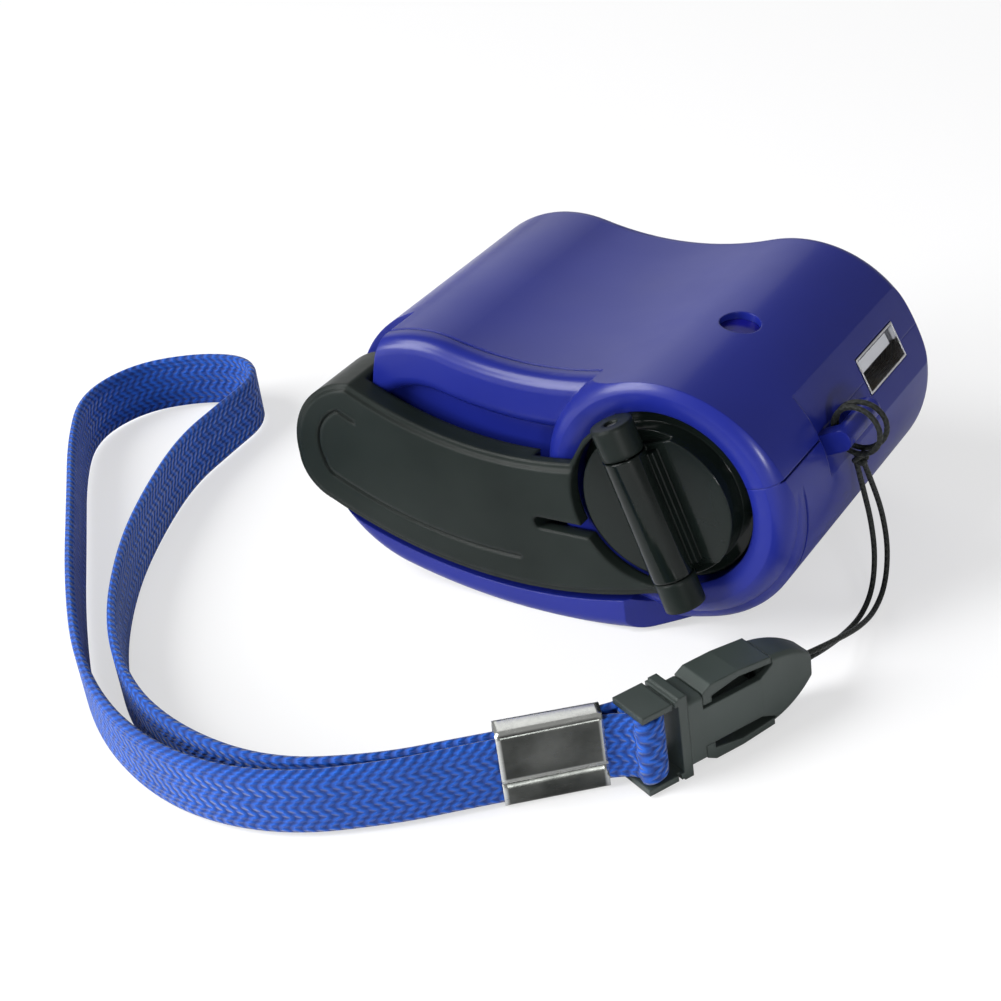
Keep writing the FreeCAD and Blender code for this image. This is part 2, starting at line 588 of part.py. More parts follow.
def spot(start, reach, rise):
    """The axis of the next gear to the left: `reach` away from the last, `rise` above it."""
    return (start[0] - math.sqrt(reach ** 2 - rise ** 2), start[1] + rise)


DRIVE = (D.hub_x, D.hub_z)
MID = spot(DRIVE, (D.drive_teeth + D.mid_pinion_teeth) * D.drive_module / 2 + D.mesh_gap, -D.mid_fall)
FAST = spot(MID, (D.mid_teeth + D.fast_pinion_teeth) * D.mid_module / 2 + D.mesh_gap, D.fast_rise)
ROTOR = spot(FAST, (D.fast_teeth + D.rotor_teeth) * D.fast_module / 2 + D.mesh_gap, -D.rotor_fall)


def involute_point(base, radius):
    """The polar angle of an involute from its base circle, where it meets a radius."""
    roll = math.sqrt(max(radius ** 2 / base ** 2 - 1, 0))
    return roll - math.atan(roll)


def gear_outline(axis, teeth, module, phase, play):
    """A spur gear's outline: 20 degree involute flanks, thinned by the play, in straight facets."""
    pitch = teeth * module / 2
    base = pitch * math.cos(math.radians(20))
    tip = pitch + module
    root = pitch - 1.25 * module
    half = math.pi / (2 * teeth) - play / (2 * pitch) / 2
    start = max(base, root + 0.05)
    radii = [start, (start + pitch) / 2, pitch, (pitch + tip) / 2, tip]
    flank = [(r, half + involute_point(base, pitch) - involute_point(base, r)) for r in radii]
    flank = [(root, flank[0][1])] + flank
    points = []
    for tooth in range(int(teeth)):
        middle = phase + tooth * 2 * math.pi / teeth
        side = [(r, middle - a) for r, a in flank] + [(r, middle + a) for r, a in reversed(flank)]
        points += [(axis[0] + r * math.cos(t), axis[1] + r * math.sin(t)) for r, t in side]
    return points


def gear(name, axis, teeth, module, phase, depth, width):
    outline = lines(gear_outline(axis, teeth, module, phase, D.tooth_play))
    return feature(name, extrude_xz(outline, depth, width))


def meshed_phase(axis, phase, teeth, other, other_teeth):
    """The phase of a gear at `other` whose tooth gap takes the tooth of the gear at `axis`."""
    line = math.atan2(other[1] - axis[1], other[0] - axis[0])
    ahead = (line - phase) * teeth / other_teeth
    return line + math.pi + ahead + math.pi / other_teeth


drive_phase = 0.0
mid_pinion_phase = meshed_phase(DRIVE, drive_phase, D.drive_teeth, MID, D.mid_pinion_teeth)
fast_pinion_phase = meshed_phase(MID, 0.0, D.mid_teeth, FAST, D.fast_pinion_teeth)
rotor_phase = meshed_phase(FAST, 0.0, D.fast_teeth, ROTOR, D.rotor_teeth)

mid_depth = D.drive_depth + D.drive_wide + D.level_gap
fast_depth = mid_depth + D.mid_wide + D.level_gap


def fixed_rod(name, axis, radius, start, end):
    """A cylinder along Y on a gear's axis, between two depths behind the disc's face."""
    foot = Vector(axis[0], D.face_y + start, axis[1])
    return feature(name, Part.makeCylinder(radius, end - start, foot, Vector(0, 1, 0)))


def bored(name, solid, axis, radius, start, end):
    """A wheel with its bore, cut a little past both of its faces."""
    bore = fixed_rod(name + "_bore", axis, radius, start - 1, end + 1)
    return node(name, cut(name + "_bored", solid, bore))


drive_web = fuse(
    "drive_web",
    gear("drive_teeth", DRIVE, D.drive_teeth, D.drive_module, drive_phase, D.drive_depth, D.drive_wide),
    rod("drive_boss", "{shaft_r} + {drive_hub}", "{drive_wide} + {level_gap} * 3", depth="{drive_depth}"),
)
boss_end = D.drive_depth + D.drive_wide + 3 * D.level_gap
bored("drive_gear", drive_web, DRIVE, D.shaft_r, D.drive_depth, boss_end)

mid_pair = fuse(
    "mid_pair",
    gear(
        "mid_pinion", MID, D.mid_pinion_teeth, D.drive_module, mid_pinion_phase,
        D.drive_depth, D.drive_wide + D.level_gap,
    ),
    gear("mid_wheel", MID, D.mid_teeth, D.mid_module, 0.0, mid_depth, D.mid_wide),
)
bored("compound_gear_1", mid_pair, MID, D.axle_r + D.axle_clear, D.drive_depth, mid_depth + D.mid_wide)

fast_pair = fuse(
    "fast_pair",
    gear(
        "fast_pinion", FAST, D.fast_pinion_teeth, D.mid_module, fast_pinion_phase,
        mid_depth, D.mid_wide + D.level_gap,
    ),
    gear("fast_wheel", FAST, D.fast_teeth, D.fast_module, 0.0, fast_depth, D.fast_wide),
)
bored("compound_gear_2", fast_pair, FAST, D.axle_r + D.axle_clear, mid_depth, fast_depth + D.fast_wide)

rotor_gear = gear("rotor_gear", ROTOR, D.rotor_teeth, D.fast_module, rotor_phase, fast_depth, D.fast_wide)
bored("generator_pinion", rotor_gear, ROTOR, D.rotor_shaft_r, fast_depth, fast_depth + D.fast_wide)

plate_back = value(PLATE_BACK)
node("gear_axles", fuse(
    "gear_axle_pair",
    fixed_rod("mid_axle", MID, D.axle_r, D.cavity_depth, plate_back),
    fixed_rod("fast_axle", FAST, D.axle_r, D.cavity_depth, plate_back),
))
plate_mass = prism("plate_mass", peanut(D.wall + D.plate_margin), "{plate_depth}", "{plate_thick}")
node("gear_plate", cut(
    "gear_plate_cut", plate_mass,
    fixed_rod("mid_seat", MID, D.axle_r, D.plate_depth - 1, plate_back + 1),
    fixed_rod("fast_seat", FAST, D.axle_r, D.plate_depth - 1, plate_back + 1),
    fixed_rod("nose_seat", ROTOR, D.can_nose_r + D.axle_clear, D.plate_depth - 1, plate_back + 1),
    rod("shaft_seat", "{shaft_r} + {axle_clear}", "{plate_thick} + 2", depth="{plate_depth} - 1"),
    lamp_rod("lamp_notch", "{lamp_r} + {plate_margin} * 3", "{lobe_r} * 0.6", "{lobe_r} * 0.6"),
    facet_back,
))

# ---------------------------------------------------------------- generator

cap_back = D.back_depth - D.wall - D.can_room - D.cap_boss
can_back = cap_back - D.cap_len
nose_front = plate_back - D.can_nose_len
node("generator_can", fuse(
    "generator_can_all",
    fixed_rod("can_drum", ROTOR, D.can_r, plate_back, can_back),
    fixed_rod("can_nose", ROTOR, D.can_nose_r, nose_front, plate_back),
))
node("generator_cap", fuse(
    "generator_cap_all",
    fixed_rod("cap_disc", ROTOR, D.can_r - D.cap_in, can_back, cap_back),
    fixed_rod("cap_boss", ROTOR, D.can_nose_r, cap_back, cap_back + D.cap_boss),
))
shaft_end = fast_depth - D.shaft_proud
node("rotor_shaft", fixed_rod("rotor_shaft_rod", ROTOR, D.rotor_shaft_r, shaft_end, nose_front))
leads = []
for i, side in enumerate((-1, 1)):
    lead_axis = (ROTOR[0] + side * D.lead_out, ROTOR[1])
    leads.append(fixed_rod(f"lead_{i + 1}", lead_axis, D.lead_r, cap_back, cap_back + D.lead_len))
node("generator_terminals", fuse("generator_terminals_all", *leads))

# ---------------------------------------------------------------- crank disc and shaft


def at_hinge(obj, right="0", back="0", up="0"):
    """Lays an object in the hinge's frame: its Z runs up along the hinge pin, its Y towards the back."""
    obj.Placement.Rotation = Rotation(Vector(0, 1, 0), -D.hinge_tilt)
    bind(obj, Placement__Base__y="{face_y} - {hinge_out} + " + back)
    across = "{hub_x} + (" + right + ") * cos({hinge_tilt}) - (" + up + ") * sin({hinge_tilt})"
    rise = "{hub_z} + (" + right + ") * sin({hinge_tilt}) + (" + up + ") * cos({hinge_tilt})"
    return bind(obj, Placement__Base__x=across, Placement__Base__z=rise)


def hinge_rod(name, radius, start, length):
    """A cylinder on the hinge line, from `start` above the hub's axis."""
    obj = doc.addObject("Part::Cylinder", name)
    bind(obj, Radius=radius, Height=length)
    return at_hinge(obj, up=start)


EAR_START = "({barrel_len} / 2 + {ear_gap})"
EAR_END = "(" + EAR_START + " + {ear_len})"
NOTCH_LONG = "({ear_len} + 1.5 * {ear_gap})"
notches = []
for side, start in (("upper", EAR_START + " - {ear_gap} / 2"), ("lower", "-" + EAR_END + " - {ear_gap}")):
    notches.append(hinge_rod(side + "_notch_round", "{ear_r} + {ear_gap}", start, NOTCH_LONG))
    flat_side = block(side + "_notch_flat", DISC_R, "{ear_r} + {ear_gap}", NOTCH_LONG)
    notches.append(at_hinge(flat_side, up=start))
disc = cut("disc_notched", rod("disc", DISC_R, "{disc_thick}"), *notches)
saddle = at_hinge(
    block(
        "saddle", "2 * ({barrel_r} + {saddle_edge})", "{hinge_out} - {barrel_r} / 2 + 2 * {saddle_sink}",
        "{barrel_len} - 2 * {saddle_edge}",
    ),
    right="-{barrel_r} - {saddle_edge}", back="{barrel_r} / 2 - {saddle_sink}",
    up="{saddle_edge} - {barrel_len} / 2",
)
hub_mass = fuse(
    "hub_mass", disc, saddle,
    hinge_rod("barrel", "{barrel_r}", "-{barrel_len} / 2", "{barrel_len}"),
    rod("skirt", SKIRT_R, "{skirt_thick}", depth="{skirt_depth}"),
)
pin_bore = hinge_rod("pin_bore", "{pin_r}", "-{barrel_len}", "2 * {barrel_len}")
node("crank_disc", cut("crank_disc_bored", hub_mass, pin_bore))
PIN_HALF = "(" + EAR_END + " - {pin_in})"
node("hinge_pin", hinge_rod("hinge_pin_rod", "{pin_r}", "-" + PIN_HALF, "2 * " + PIN_HALF))
SKIRT_BACK = "({skirt_depth} + {skirt_thick})"
node("crank_shaft", rod("crank_shaft_rod", "{shaft_r}", PLATE_BACK + " - " + SKIRT_BACK, depth=SKIRT_BACK))

# ---------------------------------------------------------------- crank arm


def hinge_point(right, up):
    """The sketch point at a place in the hinge's frame."""
    tilt = math.radians(D.hinge_tilt)
    x = D.hub_x + right * math.cos(tilt) - up * math.sin(tilt)
    return flat(x, D.hub_z + right * math.sin(tilt) + up * math.cos(tilt))


def below(centre, radius, x):
    """The angle, about a centre, at which the lower half of a circle passes over an X."""
    return 270 + math.degrees(math.asin((x - centre[0]) / radius))


def bulged(start, end, bulge):
    """The middle point of an arc that stands off its chord by a share of the chord's length."""
    chord = end - start
    return (start + end) / 2 + Vector(-chord.y, chord.x, 0) * bulge


arm_bore_r = value(ARM_BORE_R)


def arm_edges(inset):
    """The arm's outline drawn in by an inset: a long curved blade with a round left end."""
    top_c = (D.arm_top_x, D.arm_top_z + D.arm_top_r)
    low_c = (D.arm_low_x, D.arm_low_z + D.arm_low_r)
    top_span = [below(top_c, D.arm_top_r, x) for x in (D.arm_top_left, D.arm_top_right)]
    low_span = [below(low_c, D.arm_low_r, x) for x in (D.arm_low_left, D.arm_low_right)]
    top_left, top_mid, top_right = [
        along(top_c, angle, D.arm_top_r + inset) for angle in (top_span[0], sum(top_span) / 2, top_span[1])
    ]
    low_left, low_mid, low_right = [
        along(low_c, angle, D.arm_low_r - inset) for angle in (low_span[0], sum(low_span) / 2, low_span[1])
    ]
    tip = flat(D.arm_tip_x + inset, D.arm_tip_z)
    ear_end = D.barrel_len / 2 + D.ear_gap + D.ear_len - inset
    ear_top = hinge_point(-D.arm_root, ear_end)
    ear_low = hinge_point(-D.arm_root, -ear_end)
    neck = along((D.hub_x, D.hub_z), D.arm_neck_turn, arm_bore_r + D.arm_neck_out)
    neck += flat(inset, -inset / 2)
    return [
        Part.Arc(top_right, top_mid, top_left),
        Part.Arc(top_left, bulged(tip, top_left, D.arm_shoulder), tip),
        Part.Arc(tip, bulged(low_left, tip, D.arm_heel), low_left),
        Part.Arc(low_left, low_mid, low_right),
        Part.LineSegment(low_right, ear_low),
        Part.LineSegment(ear_low, ear_top),
        Part.LineSegment(ear_top, neck),
        Part.LineSegment(neck, top_right),
    ]


blade = prism("blade", arm_edges(0), "{arm_front} + {rim_deep}", "{arm_back} - {arm_front} - {rim_deep}")
face_pad = prism("face_pad", arm_edges(D.rim_wide), "{arm_front}", "{rim_deep} + 0.5")
ears = [
    hinge_rod("upper_ear", "{ear_r}", EAR_START, "{ear_len}"),
    hinge_rod("lower_ear", "{ear_r}", "-" + EAR_END, "{ear_len}"),
]
arm_bore = rod("arm_bore", ARM_BORE_R, "{arm_back} - {arm_front} + 2", depth="{arm_front} - 1")
NECK_R = COLLAR_R + " + {neck_gap}"
neck_relief = rod("neck_relief", NECK_R, "{arm_back} - {neck_back} + 1", depth="{neck_back}")
slot = block(
    "slot_box", ARM_BORE_R, "{arm_back} - {arm_front} + 2", "2 * {slot_r}",
    "{slot_x}", "{face_y} + {arm_front} - 1", "{slot_z} - {slot_r}",
)
slot_end = rod(
    "slot_end", "{slot_r}", "{arm_back} - {arm_front} + 2", "{slot_x}", "{slot_z}", "{arm_front} - 1",
)

# a fine groove that follows the blade's edge round its left end
groove_ring = cut(
    "groove_ring",
    prism("groove_outer", arm_edges(D.groove_in), "{arm_front} - 1", "1 + {groove_deep}"),
    prism("groove_inner", arm_edges(D.groove_in + D.groove_wide), "{arm_front} - 2", "3 + {groove_deep}"),
)
GROOVE_Y = "{face_y} + {arm_front} - 2"
GROOVE_LEFT = "{arm_tip_x} - 1"
groove_reach = fuse(
    "groove_reach",
    block(
        "groove_reach_top",
        "({arm_top_left} + {arm_low_left}) / 2 + {groove_top} - (" + GROOVE_LEFT + ")", "6", "2 * {lobe_r}",
        GROOVE_LEFT, GROOVE_Y, "{arm_tip_z}",
    ),
    block(
        "groove_reach_low", "-{groove_end} - (" + GROOVE_LEFT + ")", "6",
        "2 * {lobe_r}", GROOVE_LEFT, GROOVE_Y, "{arm_tip_z} - 2 * {lobe_r}",
    ),
)
groove = common("groove", groove_ring, groove_reach)

# a wall round the blade's left end, which shelters the knob
arm_wall = cut(
    "arm_wall",
    prism(
        "arm_wall_outer", arm_edges(0),
        "{arm_back} - {rim_deep}", "{arm_wall_back} - {arm_back} + {rim_deep}",
    ),
    prism("arm_wall_inner", arm_edges(D.arm_wall), "{arm_back} - 1", "{arm_wall_back}"),
    rod("arm_wall_reach", RECESS_R + " + {arm_wall_gap}", "{arm_wall_back} + 4", depth="0"),
)
arm_mass = cut("arm_mass", fuse("arm_plate", blade, face_pad), arm_bore, neck_relief, slot, slot_end, groove)
KNOB_X = "{hub_x} - {knob_reach}"
KNOB_Z = "{hub_z} - {knob_drop}"
AXLE_FOOT = "{arm_back} - {axle_seat}"
node("crank_arm", cut(
    "crank_arm_bored",
    fuse("crank_arm_mass", arm_mass, arm_wall, *ears),
    hinge_rod("ear_bore", "{pin_r} + {pin_clear}", "-{barrel_len}", "2 * {barrel_len}"),
    rod("knob_axle_hole", "{knob_axle_r}", "{axle_seat}", KNOB_X, KNOB_Z, AXLE_FOOT),
))

# ---------------------------------------------------------------- grip knob

KNOB_FRONT = "{arm_back} + {knob_gap}"
HEAD_FRONT = KNOB_FRONT + " + {knob_len} - {head_thick}"
node("knob_axle", fuse(
    "knob_axle_all",
    rod("knob_axle_rod", "{knob_axle_r}", "{axle_seat} + {knob_gap} + {knob_len}", KNOB_X, KNOB_Z, AXLE_FOOT),
    rod("knob_axle_head", "{head_r}", "{head_thick}", KNOB_X, KNOB_Z, HEAD_FRONT),
))
knob_body = rod("knob_body", "{knob_r}", "{knob_len}", KNOB_X, KNOB_Z, KNOB_FRONT)
knob_rounded = doc.addObject("Part::Fillet", "knob_rounded")
knob_rounded.Base = knob_body
knob_rounded.Edges = [(edge, D.knob_round, D.knob_round) for edge in (1, 3)]
node("grip_knob", cut(
    "grip_knob_bored", knob_rounded,
    rod("knob_bore", "{knob_axle_r} + {axle_clear}", "{knob_len} + 2", KNOB_X, KNOB_Z, KNOB_FRONT + " - 1"),
    rod(
        "knob_counterbore", "{head_r} + {knob_gap}", "{knob_len}",
        KNOB_X, KNOB_Z, HEAD_FRONT + " - {knob_gap} / 2",
    ),
))

# ---------------------------------------------------------------- buckle

BUCKLE = Placement(Vector(D.buckle_x, D.buckle_y, 0), Rotation(Vector(0, 0, 1), D.buckle_turn))
CRIMP = Placement(Vector(D.crimp_x, D.crimp_y, 0), Rotation(Vector(0, 0, 1), D.crimp_turn))


def slab(length, height, thick, x, z, middle=0.0):
    """A box in a standing piece's frame, centred on its thickness."""
    return Part.makeBox(length, thick, height, Vector(x, middle - thick / 2, z))


def upright(points, thick):
    """An outline in the standing piece's own XZ plane, thickened about its middle."""
    wire = Part.makePolygon([Vector(x, thick / 2, z) for x, z in points + points[:1]])
    return Part.Face(wire).extrude(Vector(0, -thick, 0))


def arched(start, end, bulge):
    """An arc between two points of an outline, which stands off its chord by a share of its length."""
    middle = bulged(Vector(*start, 0), Vector(*end, 0), bulge)
    return Part.Arc(*[Vector(x, 0, z) for x, z in (start, (middle.x, middle.y), end)]).toShape()


half = D.buckle_tall / 2
mouth = D.male_len
tip_x = mouth + D.socket_len
bend_x = mouth + D.shoulder_x
top, low = half + D.socket_tall / 2, half - D.socket_tall / 2
tip_top, tip_low = half + D.tip_tall / 2, half - D.tip_tall / 2
square_end = [Vector(x, 0, z) for x, z in ((bend_x, top), (mouth, top), (mouth, low), (bend_x, low))]
side_view = Part.Wire([
    *Part.makePolygon(square_end).Edges,
    arched((bend_x, low), (tip_x, tip_low), -D.shoulder_bulge),
    Part.LineSegment(Vector(tip_x, 0, tip_low), Vector(tip_x, 0, tip_top)).toShape(),
    arched((tip_x, tip_top), (bend_x, top), -D.shoulder_bulge),
])
broad = Part.Face(side_view).extrude(Vector(0, D.buckle_thick, 0))
broad.translate(Vector(0, -D.buckle_thick / 2, 0))
wide, narrow = D.buckle_thick / 2, D.tip_thick / 2
plan = [(mouth, wide), (bend_x, wide), (tip_x, narrow), (tip_x, -narrow), (bend_x, -wide), (mouth, -wide)]
plan_wire = Part.makePolygon([Vector(x, y, low) for x, y in plan + plan[:1]])
socket_mass = broad.common(Part.Face(plan_wire).extrude(Vector(0, 0, D.socket_tall)))
long_edges = [
    edge for edge in socket_mass.Edges
    if edge.BoundBox.XLength > D.socket_round and edge.BoundBox.XMin > mouth - 1e-4
]
female = socket_mass.makeFillet(D.socket_round, long_edges)
inner_thick = D.buckle_thick - 2 * D.buckle_wall
inner_tall = D.socket_tall - 2 * D.buckle_wall
pocket = slab(D.plug_len + D.plug_room, inner_tall, inner_thick, mouth, low + D.buckle_wall)
window_x = mouth + D.window_start
window_end = window_x + D.window_len
hollows = [pocket, Part.makeCylinder(
    D.cord_hole_r, D.cord_hole_in + 1, Vector(tip_x - D.cord_hole_in, 0, half), Vector(1, 0, 0),
)]
prongs = {}
for side, sign in (("upper", 1), ("lower", -1)):
    edge_z = half + sign * D.socket_tall / 2
    sill = edge_z - sign * D.window_deep
    hollows.append(upright([
        (window_x, sill), (window_end - 2 * D.window_rise, sill), (window_end, sill + sign * D.window_rise),
        (window_end, edge_z + sign), (window_x, edge_z + sign),
    ], D.buckle_thick + 2))
    root_z = edge_z - sign * (D.buckle_wall + D.slide_gap)
    inner_z = root_z - sign * D.prong_tall
    crown_z = edge_z + sign * D.prong_proud
    heel_x = window_x + D.slide_gap
    toe_x = window_end - D.slide_gap
    toe_z = sill + sign * (D.window_rise + D.slide_gap)
    heel_end = heel_x + D.prong_heel
    crown_x = heel_x + D.window_len / 2
    limb_len = D.window_start + D.slide_gap + D.prong_heel
    limb = slab(limb_len, D.prong_tall, inner_thick - 2 * D.slide_gap, mouth, min(root_z, inner_z))
    seat_z = sill + sign * D.slide_gap
    bow = upright([
        (heel_x, seat_z), (heel_x, edge_z), (heel_end, crown_z), (crown_x, crown_z),
        (toe_x, toe_z + sign * D.prong_thin), (toe_x, toe_z), (crown_x, crown_z - sign * D.prong_thin),
        (heel_end, edge_z - sign * D.prong_thin), (heel_end, seat_z),
    ], D.buckle_thick - 2 * D.slide_gap)
    prongs[side] = limb.fuse(bow).removeSplitter()
node("buckle_socket", feature("buckle_socket_all", female.cut(hollows), BUCKLE))

flange = slab(D.flange, D.buckle_tall, D.buckle_thick, mouth - D.flange, 0)
frame_x, frame_len = -D.strap_thick, mouth - D.flange + D.strap_thick
frame_all = slab(frame_len, D.buckle_tall - 2 * D.frame_in, D.buckle_thick, frame_x, D.frame_in)
frame_open = slab(frame_len, D.buckle_tall - 2 * D.slot_edge, D.buckle_thick, frame_x, D.slot_edge)
waist_cut = slab(D.flange_gap, D.buckle_tall, D.buckle_thick, mouth - D.flange - 2 * D.flange_gap, 0)
waist_core = slab(
    D.flange_gap, D.buckle_tall - 2 * (D.frame_in + D.flange_gap), D.buckle_thick - 2 * D.flange_gap,
    mouth - D.flange - 2 * D.flange_gap, D.frame_in + D.flange_gap,
)
rear_post = slab(D.rear_bar, D.buckle_tall - 2 * D.frame_in, 2 * D.rear_bar, 0, D.frame_in)
tongue_bar = slab(D.plug_len, D.plug_tall, inner_thick - 2 * D.slide_gap, mouth, half - D.plug_tall / 2)
frame_bars = frame_all.cut(frame_open).cut(waist_cut.cut(waist_core))
plug = flange.fuse([frame_bars, rear_post, tongue_bar]).removeSplitter()
node("buckle_plug", feature("buckle_plug_all", plug, BUCKLE))
for side, prong in prongs.items():
    node(f"{side}_prong", feature(f"{side}_prong_all", prong, BUCKLE))

# ---------------------------------------------------------------- crimp and strap

layers = 2 * D.strap_thick + D.strap_gap
crimp_outer = slab(D.crimp_len, D.crimp_tall, layers + 2 * D.crimp_wall, 0, 0)
crimp_hollow = slab(D.crimp_len + 2, D.crimp_tall - 2 * D.crimp_wall, layers, -1, D.crimp_wall)
node("strap_crimp", feature("strap_crimp_all", crimp_outer.cut(crimp_hollow), CRIMP))


def filleted_path(points):
    """A path of straight runs joined by tangent arcs, each as large as its two runs allow."""
    edges, radii = [], []
    last = points[0]
    for before, at, after in zip(points, points[1:], points[2:]):
        back, ahead = before - at, after - at
        reach = ARC_SHARE * min(back.Length, ahead.Length)
        back.normalize()
        ahead.normalize()
        turn = math.pi - math.acos(max(-1, min(1, back.dot(ahead))))
        radius = reach / math.tan(turn / 2)
        start, end = at + back * reach, at + ahead * reach
        middle = back + ahead
        middle.normalize()
        sag = radius / math.cos(turn / 2) - radius
        edges.append(Part.LineSegment(last, start).toShape())
        edges.append(Part.Arc(start, at + middle * sag, end).toShape())
        radii.append(round(radius, 1))
        last = end
    edges.append(Part.LineSegment(last, points[-1]).toShape())
    return Part.Wire(edges), radii


def report(name, wire, radii, solid, section):
    """Prints a cord's length and radii, and its volume over its section times its length."""
    print(name, "length", round(wire.Length, 1), "radii", radii)
    print(name, "volume ratio", round(solid.Volume / (section * wire.Length), 4))


def tube(name, points, radius):
    """A round cord along a path."""
    points = [Vector(*p) for p in points]
    wire, radii = filleted_path(points)
    section = Part.Wire(Part.Circle(points[0], points[1] - points[0], radius).toShape())
    solid = wire.makePipeShell([section], True, False)
    report(name, wire, radii, solid, math.pi * radius ** 2)
    return node(name, feature(name + "_tube", solid))


def side_edge(edge, offset):
    """An edge of a plan path moved sideways, to its left where the offset is positive."""
    middle = (edge.FirstParameter + edge.LastParameter) / 2
    points = []
    for u in (edge.FirstParameter, middle, edge.LastParameter):
        tangent = edge.tangentAt(u)
        points.append(edge.valueAt(u) + Vector(-tangent.y, tangent.x, 0) * offset)
    if edge.Curve.TypeId == "Part::GeomLine":
        return Part.LineSegment(points[0], points[2])
    return Part.Arc(*points)


def ribbon(name, points, thick, width, base):
    """A ribbon standing on edge: straight runs and arcs in plan, given thickness and height."""
    wire, radii = filleted_path([Vector(x, y, base) for x, y in points])
    left = [side_edge(edge, thick / 2) for edge in wire.Edges]
    right = [side_edge(edge, -thick / 2) for edge in wire.Edges]
    ends = [
        Part.LineSegment(left[0].StartPoint, right[0].StartPoint),
        Part.LineSegment(left[-1].EndPoint, right[-1].EndPoint),
    ]
    outline = Part.Wire(Part.__sortEdges__([curve.toShape() for curve in left + right + ends]))
    solid = Part.Face(outline).extrude(Vector(0, 0, width))
    report(name, wire, radii, solid, thick * width)
    return node(name, feature(name + "_band", solid))


def layer_run(side):
    """The strap's two points at the crimp on one side: halfway in, and outside its mouth."""
    shift = side * (D.strap_thick + D.strap_gap) / 2
    spots = [CRIMP.multVec(Vector(x, shift, 0)) for x in (D.crimp_len / 2, -D.strap_exit)]
    return [(spot.x, spot.y) for spot in spots]


ARC_SHARE = 0.45
STRAP_ROUTE = [
    (6.0, -73.4), (-6.5, -81.4), (-21.0, -83.4), (-36.0, -79.4), (-50.5, -70.4), (-66.5, -54.6),
    (-83.5, -35.4), (-98.5, -18.6), (-107.0, -6.0), (-105.5, 6.0), (-96.5, 13.4), (-86.5, 15.6),
    (-79.8, 10.0), (-79.2, -1.0), (-78.3, -13.0), (-72.5, -28.8), (-65.0, -44.0), (-53.5, -60.2),
    (-40.0, -72.2), (-25.0, -78.4), (-9.0, -79.2), (4.0, -72.6),
]
strap_points = layer_run(-1) + STRAP_ROUTE + layer_run(1)[::-1]
ribbon("wrist_strap", strap_points, D.strap_thick, D.strap_wide, D.crimp_wall)

# the strap's end, folded round the plug's rear bar
fold_half = D.rear_bar + D.strap_thick
fold = slab(D.rear_bar + 2 * D.strap_thick, D.strap_wide, 2 * fold_half, -D.strap_thick, D.tail_lift)
fold = fold.cut(slab(D.rear_bar, D.buckle_tall, 2 * D.rear_bar, 0, 0))
fold.Placement = BUCKLE.multiply(fold.Placement)
rear = [BUCKLE.multVec(Vector(-D.strap_thick, side * fold_half, D.tail_lift)) for side in (1, -1)]
ahead = [CRIMP.multVec(Vector(D.crimp_len, side * layers / 2, D.tail_lift)) for side in (1, -1)]
inside = [CRIMP.multVec(Vector(D.crimp_len / 2, side * layers / 2, D.tail_lift)) for side in (1, -1)]
throat = Part.makePolygon([inside[0], ahead[0], rear[0], rear[1], ahead[1], inside[1], inside[0]])
tail = fold.fuse(Part.Face(throat).extrude(Vector(0, 0, D.strap_wide))).removeSplitter()
node("strap_tail", feature("strap_tail_all", tail))

# ---------------------------------------------------------------- cord

# two loops hang on the bar side by side, with the knot under them
HITCH_REACH = "{facet_reach} + {bar_out} - {bar_r} - {cord_r} - {cord_play} + {hitch_r}"
HITCH_Y = "{bar_y} - {hitch_front}"
hitch_x, hitch_z = facet_spot(HITCH_REACH, "-{bar_drop}")
loops = []
for i, side in enumerate(("-", "+")):
    loop = doc.addObject("Part::Torus", f"hitch_loop_{i + 1}")
    loop.Placement.Rotation = TO_BACK
    bind(loop, Radius1="{hitch_r}", Radius2="{cord_r}")
    bind(loop, Placement__Base__x=hitch_x, Placement__Base__z=hitch_z)
    bind(loop, Placement__Base__y=HITCH_Y + " " + side + " ({cord_r} + {cord_play} / 2)")
    loops.append(loop)
knot = doc.addObject("Part::Sphere", "knot")
bind(knot, Radius="{knot_r}", Placement__Base__x=hitch_x, Placement__Base__y=HITCH_Y)
bind(knot, Placement__Base__z=hitch_z + " - {hitch_r} - {knot_r} + {knot_tuck}")
node("cord_hitch", fuse("cord_hitch_all", knot, *loops))

CORD_ROUTES = {
    "cord_strand_1": [
        (42.5, -29.9, 6.1), (43.6, -27.3, 5.9), (43.9, -21.5, 4.2), (43.6, -15.0, 2.2), (43.0, -8.5, 0.7),
        (42.4, -3.2, 1.6), (42.0, -0.9, 6.0), (41.8, -1.4, 12.0), (41.6, -3.2, 18.2), (41.4, -4.8, 23.6),
    ],
    "cord_strand_2": [
        (42.5, -29.9, 7.0), (43.9, -27.2, 6.9), (44.9, -21.2, 5.2), (45.0, -14.0, 2.6), (44.4, -7.4, 0.8),
        (43.8, -1.8, 1.7), (43.3, 0.8, 6.4), (42.9, 0.2, 12.6), (42.4, -1.8, 18.6), (42.0, -4.1, 23.8),
    ],
}
for name, route in CORD_ROUTES.items():
    tube(name, route, D.cord_r)


# ---------------------------------------------------------------- write

doc.recompute()
failed = [obj.Name for obj in doc.Objects if "Invalid" in obj.State or "Error" in obj.State]
if failed:
    raise RuntimeError(f"these objects failed to compute: {failed}")
unsound = [obj.Label for obj in NODES if obj.Shape.isNull() or not obj.Shape.isValid()]
if unsound:
    raise RuntimeError(f"these pieces have no sound shape: {unsound}")
for obj in NODES:
    obj.Shape.exportStep(f"parts/{obj.Label}.step")
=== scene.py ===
import math

import bmesh
import bpy
from bpy.props import FloatProperty, FloatVectorProperty, IntProperty, PointerProperty
from bpy.types import Operator, Panel, PropertyGroup
from mathutils import Matrix, Vector


